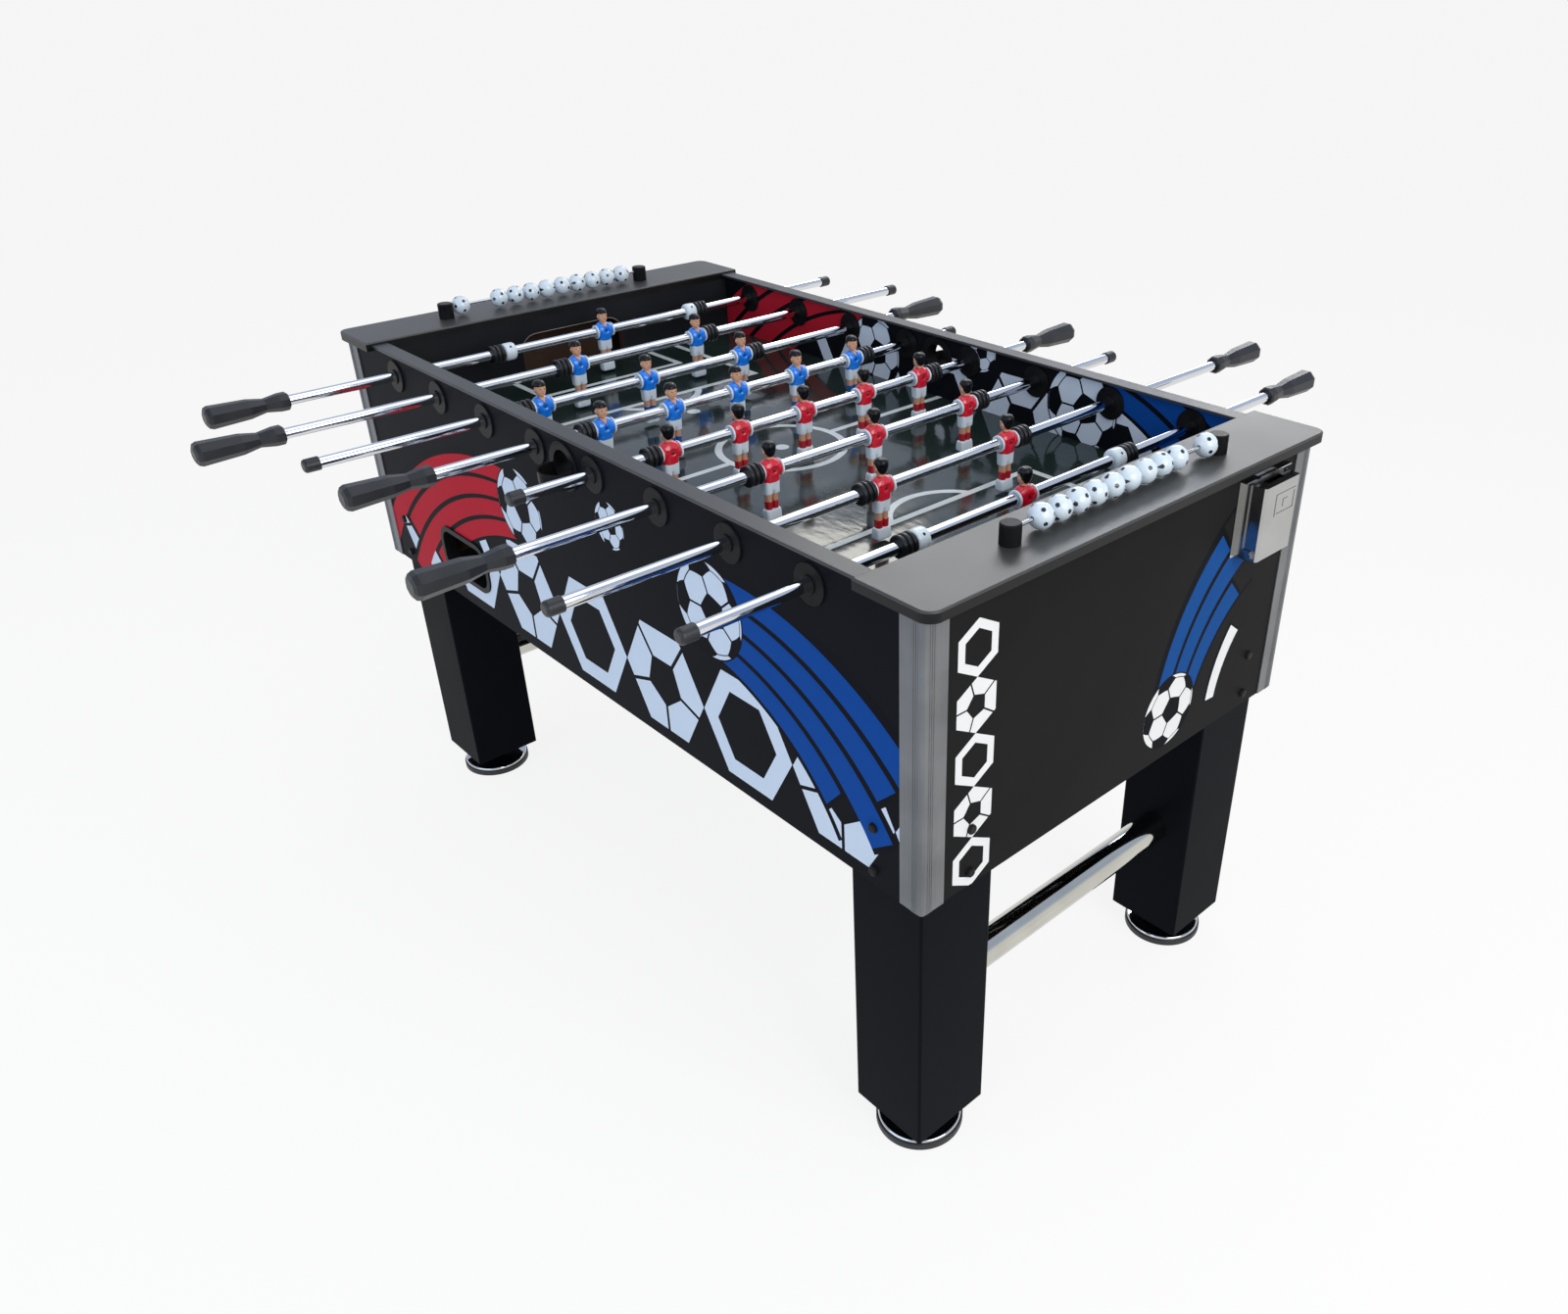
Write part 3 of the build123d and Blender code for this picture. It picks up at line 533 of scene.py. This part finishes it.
for part in frame["record"]["subparts"]:
    body = nodes[part["node"]].data
    body.materials.clear()
    finish = finishes.get(part["node"]) or finishes.get(part["material_slot"])
    if finish:
        body.materials.append(finish)
print("finishes on the CAD nodes")


# quads of a grid whose columns close into a ring
def gridFaces(rows, columns):
    i = np.arange(rows - 1)[:, None] * columns
    j = np.arange(columns)[None, :]
    k = (j + 1) % columns
    return np.stack([i + j, i + k, i + k + columns, i + j + columns], -1).reshape(-1, 4)


def joinForms(forms):
    starts = np.cumsum([0] + [len(form[0]) for form in forms])
    points = np.concatenate([form[0] for form in forms])
    quads = np.concatenate([form[1] + start for form, start in zip(forms, starts)])
    picks = np.concatenate([np.broadcast_to(form[2], len(form[1])) for form in forms])
    return points, quads, picks


# points in metres in the frame; local is each point's place on its own figure or bead, for the finish
def makePiece(name, points, quads, picks, local, look):
    mesh = bpy.data.meshes.new(name)
    mesh.from_pydata(points.tolist(), [], quads.tolist())
    for finish in look["finishes"]:
        mesh.materials.append(finish)
    mesh.polygons.foreach_set("material_index", picks.astype(np.int32))
    mesh.polygons.foreach_set("use_smooth", np.ones(len(quads), bool))
    places = mesh.attributes.new("piecePlace", "FLOAT_VECTOR", "POINT")
    places.data.foreach_set("vector", local.astype(np.float32).ravel())
    mesh.validate()
    mesh.update()
    made = bpy.data.objects.new(name, mesh)
    scene.collection.objects.link(made)
    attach(made, look["body"])
    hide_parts(look["node"])


# Catmull-Rom through the rows of a table: (2b + (c-a)f + (2a-5b+4c-d)f^2 + (3b-a-3c+d)f^3) / 2
def smoothRows(table, steps):
    p = np.array(table, float)
    spans = len(p) - 1
    p = np.concatenate([2 * p[:1] - p[1:2], p, 2 * p[-1:] - p[-2:-1]])
    t = np.linspace(0, spans, spans * steps + 1)
    i = np.minimum(t.astype(int), spans - 1)
    f = (t - i)[:, None]
    a, b, c, d = p[i], p[i + 1], p[i + 2], p[i + 3]
    return (2 * b + (c - a) * f + (2 * a - 5 * b + 4 * c - d) * f ** 2 + (3 * b - a - 3 * c + d) * f ** 3) / 2


# loft of squared ovals, closed at both ends:
# x = depth sgn(cos) |cos|^e + shift, y = width sgn(sin) |sin|^e + side
def loft(rings, side=0.0, steps=4, columns=28):
    t = np.linspace(0, 2 * np.pi, columns, endpoint=False)
    z, depth, width, shift, square = smoothRows(rings, steps).T[:, :, None]
    c, s = np.cos(t)[None, :], np.sin(t)[None, :]
    x = depth * np.sign(c) * np.abs(c) ** square + shift
    y = width * np.sign(s) * np.abs(s) ** square + side
    points = np.stack([x, y, z + 0 * x], -1)
    first = points[:1].mean(1, keepdims=True) + 0 * points[:1]
    last = points[-1:].mean(1, keepdims=True) + 0 * points[-1:]
    points = np.concatenate([first, points, last])
    return points.reshape(-1, 3), gridFaces(len(points), columns)


# turned about the rod: x = r cos t, z = -r sin t, with r given along y
def turned(profile, columns=32):
    t = np.linspace(0, 2 * np.pi, columns, endpoint=False)
    place, radius = np.array(profile, float).T[:, :, None]
    points = np.stack([radius * np.cos(t), place + 0 * t, -radius * np.sin(t)], -1)
    return points.reshape(-1, 3), gridFaces(len(place), columns)


# egg: radii along x, y, z about a centre
def eggForm(centre, radii, columns=14, rows=9):
    up = np.linspace(-np.pi / 2, np.pi / 2, rows)[:, None]
    t = np.linspace(0, 2 * np.pi, columns, endpoint=False)[None, :]
    unit = np.stack([np.cos(up) * np.cos(t), np.cos(up) * np.sin(t), np.sin(up) + 0 * t], -1)
    return unit.reshape(-1, 3) * radii + centre, gridFaces(rows, columns)


# figure, in mm from the rod's axis: x is the way it faces, y along the rod;
# rings are z, depth, width, shift, squareness
figureSet = {
    "boot": [
        (-72.6, 5.6, 10.4, 0, 0.5), (-72.0, 7.0, 11.9, 0, 0.42), (-70.0, 7.9, 12.7, 0, 0.36),
        (-65.0, 7.8, 12.8, 0, 0.36), (-60.0, 7.3, 12.6, 0, 0.36), (-57.6, 6.9, 12.2, 0, 0.38),
        (-56.4, 6.2, 11.4, 0, 0.42), (-56.0, 5.0, 10.0, 0, 0.5),
    ],
    "sock": [
        (-58.0, 5.4, 4.9, 0, 0.8), (-52.0, 5.6, 5.0, 0, 0.8), (-46.0, 6.0, 5.3, 0, 0.8),
        (-44.8, 6.0, 5.3, 0, 0.8), (-44.2, 5.4, 4.7, 0, 0.85),
    ],
    "leg": [(-46.0, 5.1, 4.4, 0, 0.85), (-40.0, 5.4, 4.7, 0, 0.85), (-31.0, 5.8, 5.0, 0, 0.85)],
    "trouser": [
        (-33.6, 6.4, 5.4, 0, 0.75), (-33.1, 7.2, 6.0, 0, 0.72), (-29.0, 7.6, 6.2, 0, 0.72),
        (-22.0, 8.0, 6.4, 0, 0.72), (-14.0, 8.2, 6.5, 0, 0.72),
    ],
    "shorts": [
        (-28.5, 6.4, 5.0, 0, 0.7), (-27.0, 7.2, 6.6, 0, 0.65),
        (-20.0, 8.0, 9.0, 0, 0.65), (-14.0, 8.2, 10.0, 0, 0.65),
    ],
    "shirt": [
        (-16.4, 8.0, 11.2, 0, 0.75), (-16.0, 9.0, 12.3, 0, 0.72), (-14.6, 9.5, 12.8, 0, 0.72),
        (-10.0, 10.1, 13.0, 0.2, 0.74), (-4.0, 11.3, 14.2, 0.5, 0.76), (1.5, 12.1, 15.6, 0.6, 0.76),
        (6.0, 11.7, 16.2, 0.3, 0.78), (10.0, 10.0, 15.2, 0, 0.82), (13.0, 8.0, 12.2, -0.3, 0.88),
        (15.0, 6.4, 8.8, -0.5, 0.95), (16.2, 5.5, 6.2, -0.5, 1.0), (16.0, 4.8, 5.2, -0.5, 1.0),
    ],
    "neck": [(12.0, 4.9, 5.2, -0.6, 1.0), (16.5, 4.8, 5.0, -0.4, 1.0), (22.0, 5.0, 5.2, 0, 1.0)],
    "head": [
        (17.0, 3.2, 3.0, 3.4, 0.95), (17.8, 5.0, 4.8, 2.8, 0.9), (20.0, 7.4, 6.6, 1.6, 0.88),
        (24.0, 8.7, 8.0, 0.8, 0.88), (29.0, 9.3, 8.7, 0.2, 0.9), (34.0, 9.1, 8.6, -0.3, 0.92),
        (37.4, 7.4, 7.2, -0.7, 0.95), (39.0, 4.6, 4.8, -0.9, 1), (39.4, 2.0, 2.0, -0.9, 1),
    ],
    "nose": ((9.6, 0, 26.2), (1.7, 1.3, 2.2)), "chin": ((6.6, 0, 18.8), (2.6, 2.8, 1.8)),
    "brow": ((8.0, 0, 30.6), (1.8, 5.6, 1.3)), "ear": ((0.2, 8.6, 26.4), (1.9, 1.2, 2.6)),
    "arm": [
        (-16.2, 8.6), (-16.2, 9.4), (-15.4, 10.0), (-13.4, 10.3), (13.4, 10.3),
        (15.4, 10.0), (16.2, 9.4), (16.2, 8.6), (-16.2, 8.6),
    ],
    "cuff": [
        (14.6, 8.2), (14.6, 11.4), (15.0, 12.0), (16.2, 12.2), (17.1, 11.9),
        (17.4, 11.2), (16.9, 9.6), (16.6, 8.2), (14.6, 8.2),
    ],
    "sockSide": 5.2, "trouserSide": 6.0,
}

hairSet = {
    "back": 18.5, "front": 31.6, "slopeFrom": -6.5, "slope": 8.0, "edge": 0.9, "rise": 0.8, "middle": 27.0,
    "wave": 0.06, "waveTurn": 2.3, "waveSkew": 0.15, "share": 0.45,
    "dark": (0.003, 0.0035, 0.005), "light": (0.005, 0.0055, 0.007), "rough": 0.28, "specular": 0.2,
}


# head: above the hairline the surface swells a little and takes the hair finish, with combed waves
def headForm():
    s = hairSet
    points, quads = loft(figureSet["head"], steps=5, columns=44)
    x, y, z = points.T
    way = np.clip((x - s["slopeFrom"]) / s["slope"], 0, 1)
    line = s["back"] + (s["front"] - s["back"]) * way * way * (3 - 2 * way)
    over = np.clip((z - line) / s["edge"], 0, 1)
    comb = s["wave"] * np.sin(y * s["waveTurn"] + s["waveSkew"] * x) * over
    out = points - [0, 0, s["middle"]]
    out /= np.linalg.norm(out, axis=1, keepdims=True)
    points = points + out * (s["rise"] * over + comb)[:, None]
    hair = over[quads].mean(1) > s["share"]
    return points, quads, np.where(hair, 2, 0)


shirtSet = {
    "dish": 6.0, "dishHeight": 1.5, "dishDepth": 3.2, "dishFrom": 4.0, "hole": 3.0, "paintedHoleShade": 0.4,
    "vee": 8.0, "trim": 5.6, "veeSlope": 1.5, "trimShade": 0.5,
}


# shirt: a dish for the fixing screw on one side, |p| < r pressed in by d (1 - (p/r)^2)^1.5
def shirtForm(face):
    s = shirtSet
    points, quads = loft(figureSet["shirt"], steps=5, columns=72)
    x, y, z = points.T
    off = (y ** 2 + (z - s["dishHeight"]) ** 2) / s["dish"] ** 2
    inside = (x * face > s["dishFrom"]) & (off < 1)
    points[:, 0] -= face * s["dishDepth"] * np.where(inside, np.abs(1 - off) ** 1.5, 0)
    return points, quads, 3


# one figure; the finish numbers are 0 skin, 1 white, 2 hair, 3 shirt, 4 sock
def figureForms(face):
    s = figureSet
    forms = [(*loft(s["boot"]), 1), (*loft(s["shorts"]), 1), shirtForm(face), (*loft(s["neck"]), 0), headForm()]
    forms += [(*eggForm(*s[name]), 0) for name in ("nose", "chin", "brow")]
    forms.append((*turned(s["arm"]), 3))
    cuff, quads = turned(s["cuff"])
    for side in (1, -1):
        forms += [(*loft(s[name], side * s["sockSide"]), pick) for name, pick in (("sock", 4), ("leg", 0))]
        forms.append((*loft(s["trouser"], side * s["trouserSide"]), 1))
        forms.append((*eggForm(s["ear"][0] * np.array([1, side, 1]), s["ear"][1]), 0))
        forms.append((cuff * [1, side, 1], quads[:, ::side], 1))
    return joinForms(forms)


faceSet = {
    "skin": (0.60, 0.32, 0.20), "skinPale": (0.68, 0.39, 0.255), "front": 4.0,
    "eye": (0.05, 0.03, 0.025), "eyeSide": 3.3, "eyeHeight": 28.3, "eyeFlat": 1.6, "eyeSize": 1.15,
    "mouth": (0.34, 0.12, 0.09), "mouthHeight": 21.7, "mouthThick": 0.4, "mouthHalf": 2.4,
}


# skin: two dark eyes and a mouth on the front of the head
def facePrint(place):
    x, y, z = place.axes()
    s = faceSet
    side, front = abs(y), x > s["front"]
    eye = (length(side - s["eyeSide"], (z - s["eyeHeight"]) * s["eyeFlat"]) < s["eyeSize"]) & front
    mouth = (abs(z - s["mouthHeight"]) < s["mouthThick"]) & (side < s["mouthHalf"]) & front
    colour = place.noise(0.12, 3).spread().tint(s["skin"], s["skinPale"])
    colour = eye.tint(mouth.tint(colour, s["mouth"]), s["eye"])
    return {"Base Color": colour, "Roughness": place.noise(0.3, 2).spread(0.30, 0.40)}


# shirt: a vee neck in front, and the screw hole in the dish painted dark as painted shade
def shirtPrint(dark, light, face):
    s = shirtSet

    def paint(place):
        x, y, z = place.axes()
        front, slope = x > 0.0, abs(y) * s["veeSlope"]
        vee = ((z - s["vee"] - slope) > 0.0) & front
        trim = ((z - s["trim"] - slope) > 0.0) & front
        # painted shade of the screw hole in the dish
        hole = (length(y, z - s["dishHeight"]) < s["hole"]) & ((x * face) > s["dishFrom"])
        colour = place.noise(0.1, 3).spread().tint(dark, light)
        colour = trim.tint(colour, [c * s["trimShade"] for c in dark])
        colour = vee.tint(colour, faceSet["skin"])
        colour = hole.tint(colour, [c * s["paintedHoleShade"] for c in dark])
        return {
            "Base Color": colour,
            "Roughness": place.noise(0.4, 2).spread(0.10, 0.16),
            "Normal": place.noise(0.2, 2).bump(0.08, 0.8),
        }
    return paint


# glossy moulded plastic
def gloss(dark, light, rough=0.22):
    def paint(place):
        drift = place.noise(0.12, 3)
        return {
            "Base Color": drift.spread().tint(dark, light),
            "Roughness": drift.spread(rough - 0.04, rough + 0.05),
            "Normal": place.noise(0.25, 2).bump(0.04, 0.5),
        }
    return paint


# stop collar of a goalkeeper's rod: a barrel with rounded ends, with the shade of a screw hole painted on it
collarSet = {
    "places": (-191.0, 191.0), "hole": 2.2, "paintedHoleShadow": (0.02, 0.022, 0.03),
    # white and whitePale are tinted blue as painted cool shade
    "white": (0.66, 0.77, 0.88), "whitePale": (0.72, 0.82, 0.91),
    "profile": [
        (-11, 8.1), (-11, 9.8), (-10.4, 12.2), (-8.8, 14.0), (-6.2, 14.9), (0, 15.0),
        (6.2, 14.9), (8.8, 14.0), (10.4, 12.2), (11, 9.8), (11, 8.1), (-11, 8.1),
    ],
}


# white parts; a collar also has its screw hole painted dark as painted shade, half way up on the side of +x
def whitePaint(place):
    x, y, z = place.axes()
    s = collarSet
    varied = gloss(s["white"], s["whitePale"])(place)
    hole = (length(y, (x - z) * 0.7071) < s["hole"]) & ((x + z) > 0.0)
    # painted shade of the collar's screw hole
    varied["Base Color"] = hole.tint(varied["Base Color"], s["paintedHoleShadow"])
    return varied


# a finish that follows the place on the figure
def onPiece(name, paint, coat=0.0, specular=0.5):
    return makeFinish(name, paint, {"Coat Weight": coat, "Specular IOR Level": specular}, coords="piecePlace")


skin = onPiece("figureSkin", facePrint)
white = onPiece("figureWhite", whitePaint, coat=0.2)
hairPaint = gloss(hairSet["dark"], hairSet["light"], hairSet["rough"])
hair = onPiece("figureHair", hairPaint, specular=hairSet["specular"])
teams = {
    "blue": {
        "face": 1,
        "shirt": ((0.003, 0.175, 0.82), (0.005, 0.235, 0.94)),
        "sock": ((0.006, 0.07, 0.34), (0.009, 0.10, 0.42)),
        "rods": {1: [0], 2: [-122, 122], 3: [-192, 0, 192], 4: [-246, -123, 0, 123, 246]},
    },
    "red": {
        "face": -1,
        "shirt": ((0.56, 0.006, 0.024), (0.70, 0.010, 0.036)),
        "sock": ((0.40, 0.008, 0.018), (0.50, 0.012, 0.024)),
        "rods": {5: [-246, -123, 0, 123, 246], 6: [-192, 0, 192], 7: [-122, 122], 8: [0]},
    },
}
for team, look in teams.items():
    shirt = onPiece(team + "Shirt", shirtPrint(*look["shirt"], look["face"]), coat=0.4)
    sock = onPiece(team + "Sock", gloss(*look["sock"]), coat=0.3)
    look["finishes"] = [skin, white, hair, shirt, sock]

ring, ringQuads = turned(smoothRows(collarSet["profile"], 2), 48)
for team, look in teams.items():
    one, quads, picks = figureForms(look["face"])
    turn = np.array([look["face"], look["face"], 1])
    for number, spots in look["rods"].items():
        forms = [(one * turn + [0, spot, 0], quads, picks) for spot in spots]
        local = [one] * len(spots)
        if len(spots) == 1:
            forms += [(ring + [0, place, 0], ringQuads, 1) for place in collarSet["places"]]
            local += [ring] * 2
        points, allQuads, allPicks = joinForms(forms)
        node = f"rod_{number}_figures"
        centre = middleOf(f"rod_{number}_tube")
        centre.y = middleOf(node).y
        rodLook = {"finishes": look["finishes"], "body": f"rod_{number}_spinner",
                   "slot": f"{team}_figures", "node": node}
        makePiece(f"figures{number}", points / 1000 + centre, allQuads, allPicks,
                  np.concatenate(local), rodLook)
print("figures on eight rods")


# bead: a ball with a bore, r (sin u cos t, -cos u, -sin u sin t); the last row closes the bore
def beadSurface(columns=32, rows=24):
    low = np.arcsin(beadSet["bore"] / beadSet["radius"])
    u = np.linspace(low, np.pi - low, rows)[:, None]
    t = np.linspace(0, 2 * np.pi, columns, endpoint=False)[None, :]
    ball = np.stack([np.sin(u) * np.cos(t), -np.cos(u) + 0 * t, -np.sin(u) * np.sin(t)], -1)
    return np.concatenate([ball, ball[:1]]).reshape(-1, 3), gridFaces(rows + 1, columns)


ball, ballQuads = beadSurface()
for side in ("left", "right"):
    for kind in ("pack", "single"):
        node = f"{side}_scorer_{kind}"
        low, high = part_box(node)
        count = round((high.y - low.y) / beadSet["pitch"])
        forms, local = [], []
        for i in range(count):
            place = (i - (count - 1) / 2) * beadSet["pitch"]
            forms.append((ball * beadSet["radius"] + [0, place, 0], ballQuads, 0))
            turn = beadSet["turn"] * (i + 2 * (side == "left"))
            tip = beadSet["tip"] + turn * beadSet["tipShare"]
            aboutY = np.array(Matrix.Rotation(turn, 3, "Y"))
            aboutX = np.array(Matrix.Rotation(tip, 3, "X"))
            local.append(ball @ aboutY @ aboutX)
        points, quads, picks = joinForms(forms)
        beadLook = {"finishes": [beadFinish], "body": node, "slot": "bead_plastic", "node": node}
        makePiece(f"{side}{kind.title()}Beads", points + middleOf(node), quads, picks,
                  np.concatenate(local), beadLook)
print("beads on both scorers")

# floor, light and camera; focal and middle are in pixels, of a picture that is wide pixels across
lookSet = {
    "camera": (1.48374, -1.15744, 1.47349), "right": (0.69114, 0.72272, -0.00262),
    "forward": (-0.62564, 0.59648, -0.50278), "focal": 1263.48, "middle": 914.6, "wide": 1600,
    "sensor": 36.0, "clipEnd": 100,
    "floorReach": 90.0, "floor": 0.95, "glow": 0.86,
    "sky": 0.42, "skyHigh": (0.52, 0.61, 0.78), "skyFrom": 0.08, "skyTo": 0.40, "aim": (0, 0, 0.7),
}


# camera rays, and camera, mirror and through rays together
def seenRays(start):
    kinds = ("Camera", "Glossy", "Transmission")
    camera, mirror, through = (start.node("ShaderNodeLightPath", out=f"Is {kind} Ray") for kind in kinds)
    return camera, camera | mirror | through


reach = lookSet["floorReach"]
floorMesh = bpy.data.meshes.new("floor")
corners = [(-reach, -reach, 0), (reach, -reach, 0), (reach, reach, 0), (-reach, reach, 0)]
floorMesh.from_pydata(corners, [], [(0, 1, 2, 3)])
floor = bpy.data.objects.new("floor", floorMesh)
scene.collection.objects.link(floor)
floorFinish = bpy.data.materials.new("paleFloor")
floorFinish.use_nodes = True
tree = floorFinish.node_tree
start = Sock(tree)
seen = seenRays(start)[1]
pale = start.node("ShaderNodeEmission", None, {"Color": (1, 1, 1, 1), "Strength": 1.0})
lit = start.node("ShaderNodeBsdfDiffuse", None, {"Color": shade((lookSet["floor"],) * 3)})
both = start.node("ShaderNodeMixShader", None, {0: seen * lookSet["glow"], 1: lit, 2: pale})
tree.links.new(both.link, tree.nodes["Material Output"].inputs["Surface"])
floorMesh.materials.append(floorFinish)

# world: white to the camera, a plain sky for diffuse light,
# and in mirrors a white horizon under a pale blue height
world = bpy.data.worlds.new("studio")
scene.world = world
world.use_nodes = True
tree = world.node_tree
start = Sock(tree)
byCamera, seen = seenRays(start)
up = start.node("ShaderNodeTexCoord", out="Generated").axes()[2]
high = up.ramp(lookSet["skyFrom"], lookSet["skyTo"]) * (seen - byCamera)
tree.links.new(high.tint((1, 1, 1), lookSet["skyHigh"]).link, tree.nodes["Background"].inputs["Color"])
tree.links.new(seen.ramp(0.0, 1.0, lookSet["sky"], 1.0).link, tree.nodes["Background"].inputs["Strength"])

lampSet = {
    "softKey": {"energy": 55.0, "size": 2.0, "colour": (1.0, 0.99, 0.97), "place": (3.0, -0.2, 2.2)},
    "softTop": {"energy": 20.0, "size": 2.4, "colour": (1.0, 1.0, 1.0), "place": (0.0, 0.8, 3.2)},
    "softFront": {"energy": 40.0, "size": 3.0, "colour": (0.55, 0.75, 1.0), "place": (0.2, -3.4, 1.6)},
    "sheenField": {"energy": 5.6, "size": 0.6, "colour": (1.0, 0.96, 0.86), "place": (-2.3, 2.2, 2.68)},
    "sheenRail": {"energy": 14.0, "size": 0.7, "colour": (1.0, 0.98, 0.95), "place": (-1.75, 2.2, 2.9)},
    "sheenMiddle": {"energy": 8.0, "size": 0.55, "colour": (0.92, 0.96, 1.0), "place": (-0.9, 2.2, 2.25)},
    "sheenCorner": {"energy": 5.0, "size": 0.6, "colour": (1.0, 0.99, 0.94), "place": (-0.3, 2.2, 1.6)},
}
for name, lampLook in lampSet.items():
    lamp = bpy.data.lights.new(name, "AREA")
    lamp.energy, lamp.size, lamp.color = lampLook["energy"], lampLook["size"], lampLook["colour"]
    made = bpy.data.objects.new(name, lamp)
    made.location = lampLook["place"]
    made.visible_diffuse = not name.startswith("sheen")  # sheen lamps show in gloss only
    made.rotation_euler = (Vector(lookSet["aim"]) - made.location).to_track_quat("-Z", "Y").to_euler()
    scene.collection.objects.link(made)

lens = bpy.data.cameras.new("view")
lens.sensor_fit, lens.sensor_width = "HORIZONTAL", lookSet["sensor"]
lens.lens = lookSet["sensor"] * lookSet["focal"] / lookSet["wide"]
lens.shift_x = 0.5 - lookSet["middle"] / lookSet["wide"]
lens.clip_end = lookSet["clipEnd"]
camera = bpy.data.objects.new("view", lens)
right, forward = Vector(lookSet["right"]), Vector(lookSet["forward"])
camera.rotation_euler = Matrix((right, right.cross(forward), -forward)).transposed().to_euler()
camera.location = lookSet["camera"]
scene.collection.objects.link(camera)
scene.camera = camera
print("camera and light set")
